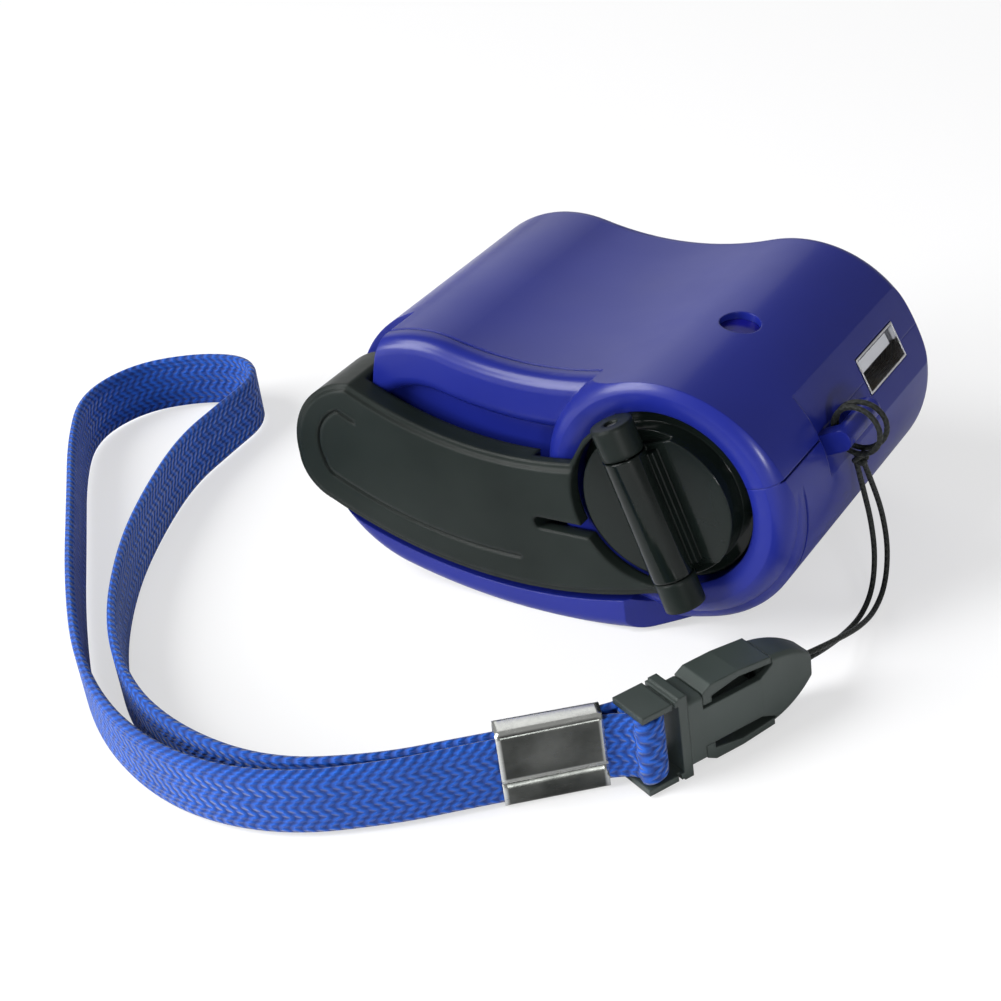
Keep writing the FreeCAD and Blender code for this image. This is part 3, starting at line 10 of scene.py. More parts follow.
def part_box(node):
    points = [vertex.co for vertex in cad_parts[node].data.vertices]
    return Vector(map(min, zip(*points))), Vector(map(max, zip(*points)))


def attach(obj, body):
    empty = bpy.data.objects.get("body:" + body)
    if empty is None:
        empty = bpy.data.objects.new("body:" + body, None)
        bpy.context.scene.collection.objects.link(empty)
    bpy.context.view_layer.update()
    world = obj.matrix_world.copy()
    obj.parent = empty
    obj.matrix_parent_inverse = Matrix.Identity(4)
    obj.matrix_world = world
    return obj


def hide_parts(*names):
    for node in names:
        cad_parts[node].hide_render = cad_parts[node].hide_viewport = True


bl_info = {
    "name": "Hand Crank Charger",
    "version": (1, 0, 0),
    "blender": (4, 5, 0),
    "location": "3D View > Sidebar > Charger",
    "description": "Dresses a hand crank phone charger: glossy shells, folding crank, wrist strap and buckle",
    "category": "Object",
}

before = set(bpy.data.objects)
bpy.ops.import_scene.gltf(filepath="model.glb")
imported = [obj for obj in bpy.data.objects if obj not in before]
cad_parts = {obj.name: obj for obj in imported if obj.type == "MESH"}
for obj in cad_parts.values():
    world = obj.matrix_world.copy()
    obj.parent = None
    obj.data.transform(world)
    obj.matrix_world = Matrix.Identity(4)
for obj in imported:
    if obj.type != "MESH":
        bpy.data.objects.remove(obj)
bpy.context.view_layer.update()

# the strap's route in plan, between the two ends that the crimp holds
STRAP_ROUTE = [
    (0.0060, -0.0734), (-0.0065, -0.0814), (-0.0210, -0.0834), (-0.0360, -0.0794), (-0.0505, -0.0704),
    (-0.0665, -0.0546), (-0.0835, -0.0354), (-0.0985, -0.0186), (-0.1070, -0.0060), (-0.1055, 0.0060),
    (-0.0965, 0.0134), (-0.0865, 0.0156), (-0.0798, 0.0100), (-0.0792, -0.0010), (-0.0783, -0.0130),
    (-0.0725, -0.0288), (-0.0650, -0.0440), (-0.0535, -0.0602), (-0.0400, -0.0722), (-0.0250, -0.0784),
    (-0.0090, -0.0792), (0.0040, -0.0726),
]
# the two strands from the buckle's tip to the knot under the lanyard bar
STRAND_ROUTES = [
    [
        (0.0425, -0.0299, 0.0061), (0.0436, -0.0273, 0.0059), (0.0439, -0.0215, 0.0042),
        (0.0436, -0.0150, 0.0022), (0.0430, -0.0085, 0.0007), (0.0424, -0.0032, 0.0016),
        (0.0420, -0.0009, 0.0060), (0.0418, -0.0014, 0.0120), (0.0416, -0.0032, 0.0182),
        (0.0414, -0.0048, 0.0236),
    ],
    [
        (0.0425, -0.0299, 0.0070), (0.0439, -0.0272, 0.0069), (0.0449, -0.0212, 0.0052),
        (0.0450, -0.0140, 0.0026), (0.0444, -0.0074, 0.0008), (0.0438, -0.0018, 0.0017),
        (0.0433, 0.0008, 0.0064), (0.0429, 0.0002, 0.0126), (0.0424, -0.0018, 0.0186),
        (0.0420, -0.0041, 0.0238),
    ],
]

# where the crimp and the buckle stand on their edges, and the way that each one points
CRIMP_FOOT = Vector((0.0160, -0.0636, 0.0))
CRIMP_TURN = math.radians(39.6)
BUCKLE_FOOT = Vector((0.0314, -0.0532, 0.0))
BUCKLE_TURN = math.radians(64.6)

# onward from the crimp's foot: where the strap's two ends stop inside it, and where they leave straight
TAPE_END, TAPE_STRAIGHT = 0.007, -0.005
# the tape is drawn a little thinner than its setting, so that its layers don't touch
TAPE_SHARE = 0.96
# one layer of the strap's fold: (onward from the crimp's foot, out from where it lies in the crimp), then
# (ahead of the buckle's foot, share of the reach to the outside of the rear bar)
FOLD_AT_CRIMP = [(TAPE_END, 0.0), (0.014, 0.0), (0.0185, 0.0012)]
FOLD_AT_BAR = [(-0.0012, 0.95), (0.0010, 1.0), (0.0024, 0.6)]
BAR_RADIUS = 0.0017
FOLD_LIFT = 0.0013

# the hitch's two loops: (side of the bar's middle, swing in radians) and how far each stands off it
LOOPS = [(-1, -0.10), (1, 0.13)]
LOOP_APART = 0.00045
LOOP_STEPS = 36
# the knot's winding, a trefoil: its mean radius and how far that waves, then its height above the
# hitch's lowest point and how far that waves
KNOT_WIDE, KNOT_WAVE = 0.00062, 0.00026
KNOT_UP, KNOT_TALL = 0.0013, 0.00055
KNOT_STEPS = 60

# the crimp's rows of points as shares of its length, and how much it is nipped between its rims
CRIMP_ROWS = (0.0, 0.05, 0.5, 0.95, 1.0)
CRIMP_WAIST = 0.96
# shares of its height: the lower edge of its front layer, and the top of the layer tucked under that
CRIMP_LIP, CRIMP_TUCK = 0.36, 0.42
# how far the front layer stands out and how tall the painted highlight on its lower edge is, in gauges of the
# sheet
CRIMP_PROUD, CRIMP_EDGE = 0.7, 1.6
# how far from a fold its flat begins, in radii of the fold
CRIMP_HEM = 1.6

# the lamps: name, place, the point that each looks at, size, and the setting that gives its power
LAMPS = [
    ("key_lamp", (-0.42, -0.40, 0.62), (0.0, -0.02, 0.02), 0.42, "key"),
    ("front_lamp", (-0.52, -0.62, 0.33), (0.0, -0.02, 0.02), 0.42, "front"),
    ("side_lamp", (0.50, -0.46, 0.16), (0.02, -0.02, 0.02), 0.12, "side"),
    ("back_lamp", (-0.62, 0.70, 0.55), (0.0, 0.0, 0.02), 0.9, "back"),
]
# a way along which no two points of a piece lie level
SORT_WAY = Vector((1.0, 0.618, 0.382))
WHITE = (1.0, 1.0, 1.0, 1.0)
FLOOR_SIZE = 3.0
FLOOR_DROP = -0.00005

# ---------------------------------------------------------------- settings


class CameraSettings(PropertyGroup):
    place: FloatVectorProperty(
        name="Place", description="Where the camera stands",
        default=(0.14080, -0.22812, 0.16546), subtype="XYZ",
    )
    right: FloatVectorProperty(
        name="Right", description="The camera's right hand direction",
        default=(0.84576, 0.51870, -0.12505), subtype="DIRECTION",
    )
    up: FloatVectorProperty(
        name="Up", description="The camera's upward direction",
        default=(-0.17385, 0.48948, 0.85451), subtype="DIRECTION",
    )
    lens: FloatProperty(
        name="Lens", description="Focal length on a 36 mm sensor", default=71.93, unit="CAMERA",
    )


class ShellSettings(PropertyGroup):
    blue: FloatVectorProperty(
        name="Blue", description="Colour of the moulded shells",
        default=(0.009, 0.016, 0.195), subtype="COLOR",
    )
    deep_blue: FloatVectorProperty(
        name="Deep blue", description="Darker flow of the same plastic",
        default=(0.007, 0.012, 0.142), subtype="COLOR",
    )
    gloss: FloatProperty(
        name="Roughness", description="Least roughness of the shells", default=0.31, subtype="FACTOR",
    )


class CrankSettings(PropertyGroup):
    black: FloatVectorProperty(
        name="Black", description="Colour of the crank's plastic",
        default=(0.0060, 0.0092, 0.0080), subtype="COLOR",
    )
    worn_black: FloatVectorProperty(
        name="Worn black", description="Paler, handled patches",
        default=(0.0105, 0.0148, 0.0130), subtype="COLOR",
    )
    sheen: FloatProperty(
        name="Roughness", description="Roughness of the crank's arm", default=0.38, subtype="FACTOR",
    )
    polish: FloatProperty(
        name="Polish", description="How much smoother the disc is", default=0.29, subtype="FACTOR",
    )


class StrapSettings(PropertyGroup):
    width: FloatProperty(
        name="Width", description="Width of the woven tape", default=0.010, unit="LENGTH",
    )
    thick: FloatProperty(
        name="Thickness", description="Thickness of the tape", default=0.0015, unit="LENGTH",
    )
    gap: FloatProperty(
        name="Gap", description="Gap between its two layers in the crimp", default=0.0001, unit="LENGTH",
    )
    base: FloatProperty(
        name="Base", description="Height of the tape's lower edge", default=0.0005, unit="LENGTH",
    )
    # the lit yarn's colour, a painted highlight that the weave puts on its crowns
    blue: FloatVectorProperty(
        name="Blue", description="Lit yarn", default=(0.007, 0.098, 0.520), subtype="COLOR",
    )
    # the painted shade that the weave puts in its gaps
    gap_shade_blue: FloatVectorProperty(
        name="Dark blue", description="Yarn in the weave's gaps",
        default=(0.0015, 0.013, 0.100), subtype="COLOR",
    )
    rib: FloatProperty(
        name="Rib", description="Pitch of the herringbone along the tape", default=0.00160, unit="LENGTH",
    )


class CordSettings(PropertyGroup):
    radius: FloatProperty(
        name="Radius", description="Radius of one strand", default=0.0004, unit="LENGTH",
    )
    black: FloatVectorProperty(
        name="Black", description="Colour of the cord", default=(0.005, 0.006, 0.005), subtype="COLOR",
    )
    pitch: FloatProperty(
        name="Pitch", description="Pitch of the crossing yarns", default=0.0011, unit="LENGTH",
    )
    sides: IntProperty(
        name="Sides", description="Sides of a strand's section", default=12, min=6, max=32,
        subtype="UNSIGNED",
    )


class CrimpSettings(PropertyGroup):
    length: FloatProperty(
        name="Length", description="Length along the strap", default=0.014, unit="LENGTH",
    )
    tall: FloatProperty(
        name="Height", description="Height of the crimp", default=0.012, unit="LENGTH",
    )
    thick: FloatProperty(
        name="Thickness", description="Thickness over both walls", default=0.0041, unit="LENGTH",
    )
    sheet: FloatProperty(
        name="Sheet", description="Gauge of the tin plate", default=0.0004, unit="LENGTH",
    )
    bend: FloatProperty(
        name="Bend", description="Radius of its folds", default=0.0011, unit="LENGTH",
    )


class StageSettings(PropertyGroup):
    floor: FloatVectorProperty(
        name="Floor", description="Colour of the floor", default=(0.86, 0.86, 0.87), subtype="COLOR",
    )
    key: FloatProperty(
        name="Key", description="Power of the lamp above", default=6.0, unit="POWER",
    )
    front: FloatProperty(
        name="Front", description="Power of the lamp in front", default=7.0, unit="POWER",
    )
    side: FloatProperty(
        name="Side", description="Power of the lamp on the right", default=1.7, unit="POWER",
    )
    back: FloatProperty(
        name="Back", description="Power of the lamp behind", default=1.6, unit="POWER",
    )
    ambient: FloatProperty(
        name="Ambient", description="Strength of the even light", default=0.32, subtype="UNSIGNED",
    )


class ChargerSettings(PropertyGroup):
    camera: PointerProperty(type=CameraSettings)
    shell: PointerProperty(type=ShellSettings)
    crank: PointerProperty(type=CrankSettings)
    strap: PointerProperty(type=StrapSettings)
    cord: PointerProperty(type=CordSettings)
    crimp: PointerProperty(type=CrimpSettings)
    stage: PointerProperty(type=StageSettings)


def settings():
    """The charger's settings in this scene."""
    return bpy.context.scene.charger


# ---------------------------------------------------------------- shader helpers


class Finish:
    """A material under construction: its node tree, its shader and a few ways to add to them."""

    def __init__(self, name, **sockets):
        self.material = bpy.data.materials.new(name)
        self.material.use_nodes = True
        self.tree = self.material.node_tree
        self.shader = self.tree.nodes["Principled BSDF"]
        for socket, amount in sockets.items():
            self.shader.inputs[socket.replace("_", " ")].default_value = amount

    def node(self, kind, inputs=None, **values):
        made = self.tree.nodes.new(kind)
        for key, setting in values.items():
            setattr(made, key, setting)
        for socket, source in (inputs or {}).items():
            if isinstance(source, bpy.types.NodeSocket):
                self.tree.links.new(source, made.inputs[socket])
            else:
                made.inputs[socket].default_value = source
        return made

    def put(self, source, socket):
        self.tree.links.new(source, self.shader.inputs[socket])

    def place(self):
        """Object coordinates."""
        return self.node("ShaderNodeTexCoord").outputs["Object"]

    def surface(self):
        """The piece's own UV map, in metres along and across."""
        return self.node("ShaderNodeUVMap", uv_map="tape").outputs["UV"]

    def noise(self, scale, detail, rough, stretch=None):
        """A cloudy pattern, `scale` of its cells to the metre."""
        where = self.place()
        if stretch:
            where = self.node("ShaderNodeMapping", {"Vector": where, "Scale": stretch}).outputs["Vector"]
        inputs = {"Vector": where, "Scale": scale, "Detail": detail, "Roughness": rough}
        return self.node("ShaderNodeTexNoise", inputs).outputs["Fac"]

    def maths(self, kind, first, second, third=0.0):
        """One step of arithmetic."""
        return self.node("ShaderNodeMath", {0: first, 1: second, 2: third}, operation=kind).outputs[0]

    def spread(self, source, low, high, start=0.3, end=0.7):
        """Maps a pattern onto a span of numbers."""
        inputs = {"Value": source, "From Min": start, "From Max": end, "To Min": low, "To Max": high}
        return self.node("ShaderNodeMapRange", inputs).outputs["Result"]

    def blend(self, factor, first, second):
        """Mixes two colours by a pattern."""
        made = self.node("ShaderNodeMix", data_type="RGBA")
        for index, source in ((0, factor), (6, first), (7, second)):
            if isinstance(source, bpy.types.NodeSocket):
                self.tree.links.new(source, made.inputs[index])
            else:
                made.inputs[index].default_value = source if index == 0 else (*source[:3], 1.0)
        return made.outputs[2]

    def relief(self, height, depth, strength=1.0, over=None):
        """A bump `depth` metres high, laid over another normal."""
        inputs = {"Height": height, "Distance": depth, "Strength": strength, "Filter Width": 1.0}
        if over:
            inputs["Normal"] = over
        return self.node("ShaderNodeBump", inputs).outputs["Normal"]

    def softened(self, radius):
        """A normal that rounds the edges of a hard solid."""
        return self.node("ShaderNodeBevel", {"Radius": radius}, samples=6).outputs["Normal"]


def moulded(name, pale, dark, rough, grain, edge, **sockets):
    """Moulded plastic: a slow drift of colour, fine grain, scuffs and softened edges."""
    finish = Finish(name, **sockets)
    flow = finish.spread(finish.noise(55.0, 3.0, 0.5), 0.0, 1.0, 0.35, 0.65)
    finish.put(finish.blend(flow, dark, pale), "Base Color")
    scuff = finish.noise(420.0, 6.0, 0.65)
    finish.put(finish.spread(scuff, rough - 0.03, rough + 0.05), "Roughness")
    skin = finish.relief(finish.noise(grain, 2.0, 0.5), 0.00001, 0.5, finish.softened(edge))
    finish.put(skin, "Normal")
    return finish.material


def drawn_metal(name, colour, rough, stretch=(1.0, 1.0, 40.0)):
    """Metal with fine drawing lines and a little tarnish."""
    finish = Finish(name, Metallic=1.0)
    lines = finish.noise(260.0, 5.0, 0.6, stretch=stretch)
    tarnish = finish.noise(90.0, 3.0, 0.5)
    darker = tuple(channel * 0.72 for channel in colour)
    finish.put(finish.blend(finish.spread(tarnish, 0.0, 1.0), darker, colour), "Base Color")
    finish.put(finish.spread(lines, rough - 0.06, rough + 0.1), "Roughness")
    finish.put(finish.relief(lines, 0.000004, 0.6, finish.softened(0.00012)), "Normal")
    return finish.material


# ---------------------------------------------------------------- finishes


def shell_finish():
    """Glossy deep blue plastic of the two shells, hazed by handling."""
    look = settings().shell
    finish = Finish(
        "shell_blue", IOR=1.46, Specular_IOR_Level=0.22, Coat_Weight=0.14, Coat_Roughness=0.16,
    )
    flow = finish.spread(finish.noise(24.0, 3.0, 0.45), 0.0, 1.0, 0.3, 0.7)
    finish.put(finish.blend(flow, look.deep_blue, look.blue), "Base Color")
    haze = finish.noise(38.0, 5.0, 0.6)
    finish.put(finish.spread(haze, look.gloss - 0.02, look.gloss + 0.09), "Roughness")
    wave = finish.noise(140.0, 2.0, 0.4)
    finish.put(finish.relief(wave, 0.00002, 0.25, finish.softened(0.00035)), "Normal")
    return finish.material


def crank_finish():
    """Fine-grained dark plastic of the arm."""
    look = settings().crank
    return moulded(
        "crank_black", look.worn_black, look.black, look.sheen, grain=3600.0, edge=0.0009,
        Specular_IOR_Level=0.15,
    )


def disc_finish():
    """The same plastic, polished by the hand, on the disc, its barrel and the knob."""
    look = settings().crank
    polished = tuple(channel * 0.7 for channel in look.black)
    return moulded(
        "disc_black", look.black, polished, look.sheen - look.polish, grain=2600.0, edge=0.00035,
        Specular_IOR_Level=0.21,
    )


def tape_finish():
    """Woven tape: a herringbone of fine yarns that runs along the strap, coloured with painted shade in the
    weave's gaps and painted light on the yarns' crowns.
    """
    look = settings().strap
    finish = Finish(
        "tape_weave", Roughness=0.72, Sheen_Weight=0.15, Sheen_Roughness=0.4, Specular_IOR_Level=0.3,
    )
    split = finish.node("ShaderNodeSeparateXYZ", {"Vector": finish.surface()})
    along, across = split.outputs["X"], split.outputs["Y"]
    # the slant turns over at each sixth of the tape's width, and the warp at each twenty-fourth
    fold = finish.maths("PINGPONG", across, look.width / 6)
    slant = finish.maths("MULTIPLY_ADD", fold, 0.9, along)
    yarn = finish.maths("PINGPONG", slant, look.rib / 2)
    crown = finish.spread(yarn, 0.0, 1.0, 0.0, look.rib / 2)
    warp = finish.maths("PINGPONG", across, look.width / 24)
    cross = finish.spread(warp, 0.0, 1.0, 0.0, look.width / 24)
    woven = finish.maths("MULTIPLY_ADD", crown, 0.65, finish.maths("MULTIPLY", cross, 0.35))
    weave = finish.spread(woven, 0.0, 1.0, 0.2, 0.8)
    fuzz = finish.noise(2600.0, 3.0, 0.6)
    # the weave paints its crowns lit and its gaps in shade, a painted highlight and painted shade, with
    # random fuzz over them
    lit = finish.maths("MULTIPLY_ADD", fuzz, 0.35, finish.maths("MULTIPLY_ADD", weave, 0.75, -0.05))
    worn = finish.spread(finish.noise(60.0, 3.0, 0.5), 0.82, 1.12)
    tone = finish.maths("MULTIPLY", lit, worn)
    finish.put(finish.blend(tone, look.gap_shade_blue, look.blue), "Base Color")
    bumps = finish.relief(weave, 0.00030, 1.0)
    finish.put(finish.relief(fuzz, 0.00006, 0.6, bumps), "Normal")
    return finish.material


def braid_finish():
    """Thin braided cord: crossing yarns, with painted shade darkest between them and a painted highlight on
    the yarns.
    """
    look = settings().cord
    finish = Finish(
        "cord_braid", Roughness=0.6, Sheen_Weight=0.06, Sheen_Roughness=0.45, Specular_IOR_Level=0.25,
    )
    split = finish.node("ShaderNodeSeparateXYZ", {"Vector": finish.surface()})
    along, across = split.outputs["X"], split.outputs["Y"]
    right, left = [
        finish.maths("PINGPONG", finish.maths("MULTIPLY_ADD", across, slant, along), look.pitch / 2)
        for slant in (1.1, -1.1)
    ]
    yarns = finish.spread(finish.maths("MAXIMUM", right, left), 0.0, 1.0, look.pitch / 6, look.pitch / 2)
    fuzz = finish.noise(3000.0, 3.0, 0.6)
    tone = finish.maths("MULTIPLY_ADD", fuzz, 0.3, finish.maths("MULTIPLY", yarns, 0.7))
    # pale is a painted highlight on the yarns, and black the painted shade between them, mixed by the yarns'
    # pattern and random fuzz
    pale = tuple(channel * 2.6 for channel in look.black)
    finish.put(finish.blend(tone, look.black, pale), "Base Color")
    finish.put(finish.relief(yarns, 0.00009, 0.9), "Normal")
    return finish.material


def crimp_finish():
    """Tin plate with pressing marks, painted dark as a painted reflection of dark surroundings, and painted
    bright along its rims, folds and ends as a painted highlight.
    """
    finish = Finish("crimp_chrome", Metallic=1.0)
    dents = finish.noise(160.0, 3.0, 0.5)
    # the plate's dark greys are a painted dark reflection, mottled by the pressing marks
    plate = finish.blend(finish.spread(dents, 0.0, 1.0), (0.03, 0.032, 0.03), (0.085, 0.088, 0.083))
    # the rim layer marks where a painted highlight goes, along rims, folds and ends
    rim = finish.node("ShaderNodeAttribute", attribute_name="rim").outputs["Fac"]
    finish.put(finish.blend(rim, plate, (0.66, 0.67, 0.64)), "Base Color")
    scratches = finish.noise(500.0, 6.0, 0.7, stretch=(1.0, 1.0, 6.0))
    finish.put(finish.spread(scratches, 0.14, 0.32), "Roughness")
    hammered = finish.relief(dents, 0.00006, 0.35, finish.softened(0.00015))
    finish.put(finish.relief(scratches, 0.000006, 0.5, hammered), "Normal")
    return finish.material


def lens_finish():
    """Deep blue plastic of the lens, with a faint swirl."""
    finish = Finish("lens_blue", Roughness=0.22, Specular_IOR_Level=0.15)
    swirl = finish.spread(finish.noise(300.0, 2.0, 0.5), 0.0, 1.0)
    finish.put(finish.blend(swirl, (0.004, 0.004, 0.10), (0.008, 0.008, 0.20)), "Base Color")
    grain = finish.noise(1200.0, 2.0, 0.5)
    finish.put(finish.relief(grain, 0.00001, 0.4, finish.softened(0.0002)), "Normal")
    return finish.material


def board_finish():
    """Green solder mask with the shadow of copper tracks."""
    finish = Finish("board_green", Roughness=0.35, IOR=1.5)
    inputs = {"Vector": finish.place(), "Scale": 420.0}
    cells = finish.node("ShaderNodeTexVoronoi", inputs, feature="DISTANCE_TO_EDGE")
    track = finish.spread(cells.outputs["Distance"], 1.0, 0.0, 0.02, 0.06)
    finish.put(finish.blend(track, (0.010, 0.085, 0.028), (0.030, 0.17, 0.060)), "Base Color")
    finish.put(finish.relief(track, 0.00003, 0.6), "Normal")
    return finish.material


# ---------------------------------------------------------------- mesh helpers


def settle(mesh):
    """Puts points, edges and faces in an order that is the same each time: along a slanted way."""
    mesh.verts.sort(key=lambda vert: vert.co.dot(SORT_WAY))
    mesh.edges.sort(key=lambda edge: sum(vert.co.dot(SORT_WAY) for vert in edge.verts))
    mesh.faces.sort(key=lambda face: sum(vert.co.dot(SORT_WAY) for vert in face.verts) / len(face.verts))


def new_piece(name, mesh, material, body):
    """Finishes a bmesh as a piece of the charger that rides on a body."""
    settle(mesh)
    data = bpy.data.meshes.new(name)
    mesh.to_mesh(data)
    mesh.free()
    piece = bpy.data.objects.new(name, data)
    bpy.context.collection.objects.link(piece)
    data.materials.append(material)
    data.shade_smooth()
    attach(piece, body)
    return piece


def route_points(name, points, steps):
    """The points of the smooth curve that a route's points steer."""
    curve = bpy.data.curves.new(name, "CURVE")
    curve.dimensions = "3D"
    curve.resolution_u = steps
    spline = curve.splines.new("NURBS")
    spline.points.add(len(points) - 1)
    for knot, point in zip(spline.points, points):
        knot.co = (*point, 1.0)
    spline.order_u = 3
    spline.use_endpoint_u = True
    guide = bpy.data.objects.new(name, curve)
    line = bpy.data.meshes.new_from_object(guide)
    walked = [vertex.co.copy() for vertex in line.vertices]
    bpy.data.objects.remove(guide)
    bpy.data.curves.remove(curve)
    bpy.data.meshes.remove(line)
    return walked


def directions(path, closed=False):
    """The way that a path runs at each of its points."""
    count = len(path)
    ways = []
    for index in range(count):
        if closed:
            before, after = path[index - 1], path[(index + 1) % count]
        else:
            before, after = path[max(index - 1, 0)], path[min(index + 1, count - 1)]
        ways.append((after - before).normalized())
    return ways


def turned_frames(path, closed=False):
    """A frame at each point whose X runs along the path, carried on without twist."""
    ways = directions(path, closed)
    side = ways[0].orthogonal().normalized()
    frames = []
    for point, way in zip(path, ways):
        side = (side - way * side.dot(way)).normalized()
        frames.append(Matrix((
            (way.x, side.x, way.cross(side).x, point.x),
            (way.y, side.y, way.cross(side).y, point.y),
            (way.z, side.z, way.cross(side).z, point.z),
            (0, 0, 0, 1),
        )))
    return frames


def upright_frames(path):
    """A frame at each point whose X runs along the path and whose Z stays up."""
    frames = []
    for point, way in zip(path, directions(path)):
        side = Vector((-way.y, way.x, 0)).normalized()
        frames.append(Matrix((
            (way.x, side.x, 0, point.x),
            (way.y, side.y, 0, point.y),
            (way.z, side.z, 1, point.z),
            (0, 0, 0, 1),
        )))
    return frames


def ring_start(mesh, section, place):
    """A section's closed ring of edges, set on a frame."""
    first = [mesh.verts.new(place @ Vector((0, across, up))) for across, up in section]
    return [mesh.edges.new((corner, first[(k + 1) % len(first)])) for k, corner in enumerate(first)]


def swept(section, frames, closed=False):
    """Extrudes a ring of (across, up) points along a row of frames, with a UV map in metres."""
    mesh = bmesh.new()
    tape = mesh.loops.layers.uv.new("tape")
    station = mesh.verts.layers.int.new("station")
    corner = mesh.verts.layers.int.new("corner")
    edges = ring_start(mesh, section, frames[0])
    mesh.verts.ensure_lookup_table()
    for k, vert in enumerate(mesh.verts):
        vert[corner] = k
    if not closed:
        bmesh.ops.contextual_create(mesh, geom=edges)
    for number, place in enumerate(frames[1:] + (frames[:1] if closed else []), start=1):
        grown = bmesh.ops.extrude_edge_only(mesh, edges=edges)["geom"]
        ring = [part for part in grown if isinstance(part, bmesh.types.BMVert)]
        edges = [part for part in grown if isinstance(part, bmesh.types.BMEdge)]
        for vert in ring:
            across, up = section[vert[corner]]
            vert.co = place @ Vector((0, across, up))
            vert[station] = number
    if not closed:
        bmesh.ops.contextual_create(mesh, geom=edges)
    around = [0.0]
    count = len(section)
    for index in range(count):
        step = Vector(section[(index + 1) % count]) - Vector(section[index])
        around.append(around[-1] + step.length)
    walked = [0.0]
    for before, after in zip(frames, frames[1:] + frames[:1]):
        walked.append(walked[-1] + (after.translation - before.translation).length)
    for face in mesh.faces:
        turns = [loop.vert[corner] for loop in face.loops]
        for loop in face.loops:
            turn = loop.vert[corner]
            if turn == 0 and count - 1 in turns:
                turn = count
            loop[tape].uv = (walked[loop.vert[station]], around[turn])
    bmesh.ops.remove_doubles(mesh, verts=mesh.verts, dist=1e-7)
    bmesh.ops.recalc_face_normals(mesh, faces=mesh.faces)
    return mesh


def add_tube(bundle, ring, path):
    """Adds a closed tube along a path to a mesh."""
    tube = swept(ring, turned_frames(path, True), True)
    data = bpy.data.meshes.new("turn_of_cord")
    tube.to_mesh(data)
    tube.free()
    bundle.from_mesh(data)
    bpy.data.meshes.remove(data)


def stadium(thick, width):
    """A flat section with round edges, standing on its lower edge."""
    arc_steps, flat_steps = 4, 5
    radius = thick / 2
    top, low = width - radius, radius
    ring = []
    for begin, end, start, side in ((top, low, 0.0, -radius), (low, top, math.pi, radius)):
        for step in range(arc_steps + 1):
            angle = start + math.pi * step / arc_steps
            ring.append((radius * math.cos(angle), begin + radius * math.sin(angle)))
        for step in range(1, flat_steps):
            ring.append((side, begin + (end - begin) * step / flat_steps))
    return ring


def round_angles(steps):
    """Even steps once round a circle."""
    return [2 * math.pi * step / steps for step in range(steps)]


def circle(radius, sides):
    """A round section."""
    return [(radius * math.cos(angle), radius * math.sin(angle)) for angle in round_angles(sides)]


def heading(turn):
    """The way that a piece points on the table, and the way to its left."""
    return Vector((math.cos(turn), math.sin(turn), 0)), Vector((-math.sin(turn), math.cos(turn), 0))


# ---------------------------------------------------------------- operators


class CHARGER_OT_camera(Operator):
    """Stands the camera at the product view"""

    bl_idname = "charger.camera"
    bl_label = "Camera"

    def execute(self, context):
        view = settings().camera
        data = bpy.data.cameras.new("product_view")
        data.lens = view.lens
        data.sensor_width = 36.0
        data.clip_start = 0.01
        camera = bpy.data.objects.new("product_view", data)
        context.collection.objects.link(camera)
        right, up = Vector(view.right).normalized(), Vector(view.up).normalized()
        back = right.cross(up)
        turn = Matrix((right, up, back)).transposed().to_4x4()
        camera.matrix_world = Matrix.Translation(Vector(view.place)) @ turn
        context.scene.camera = camera
        return {"FINISHED"}


class CHARGER_OT_strap(Operator):
    """Weaves the wrist strap and the end of it that folds round the buckle's bar"""

    bl_idname = "charger.strap"
    bl_label = "Wrist strap"

    def execute(self, context):
        look = settings().strap
        weave = tape_finish()
        onward, aside = heading(CRIMP_TURN)
        layer = (look.thick + look.gap) / 2
        start = [CRIMP_FOOT + onward * reach - aside * layer for reach in (TAPE_END, TAPE_STRAIGHT)]
        end = [CRIMP_FOOT + onward * reach + aside * layer for reach in (TAPE_STRAIGHT, TAPE_END)]
        plan = start + [Vector((x, y, 0)) for x, y in STRAP_ROUTE] + end
        walked = route_points("strap_route", [(p.x, p.y, look.base) for p in plan], 10)
        section = stadium(look.thick * TAPE_SHARE, look.width)
        strap = new_piece("strap_tape", swept(section, upright_frames(walked)), weave, "strap")
        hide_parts("wrist_strap")

        ahead, left = heading(BUCKLE_TURN)
        bar = BAR_RADIUS + look.thick / 2

        def half(side):
            """One layer of the fold, from the crimp to the front of the bar."""
            at_crimp = [
                CRIMP_FOOT + onward * reach + aside * (side * (layer + out))
                for reach, out in FOLD_AT_CRIMP
            ]
            at_bar = [
                BUCKLE_FOOT + ahead * reach + left * (side * bar * share)
                for reach, share in FOLD_AT_BAR
            ]
            return at_crimp + at_bar

        fold = half(1) + half(-1)[::-1]
        walked_fold = route_points("fold_route", [(p.x, p.y, FOLD_LIFT) for p in fold], 6)
        tail = new_piece("strap_fold", swept(section, upright_frames(walked_fold)), weave, "strap")
        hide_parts("strap_tail")
        return {"FINISHED"}


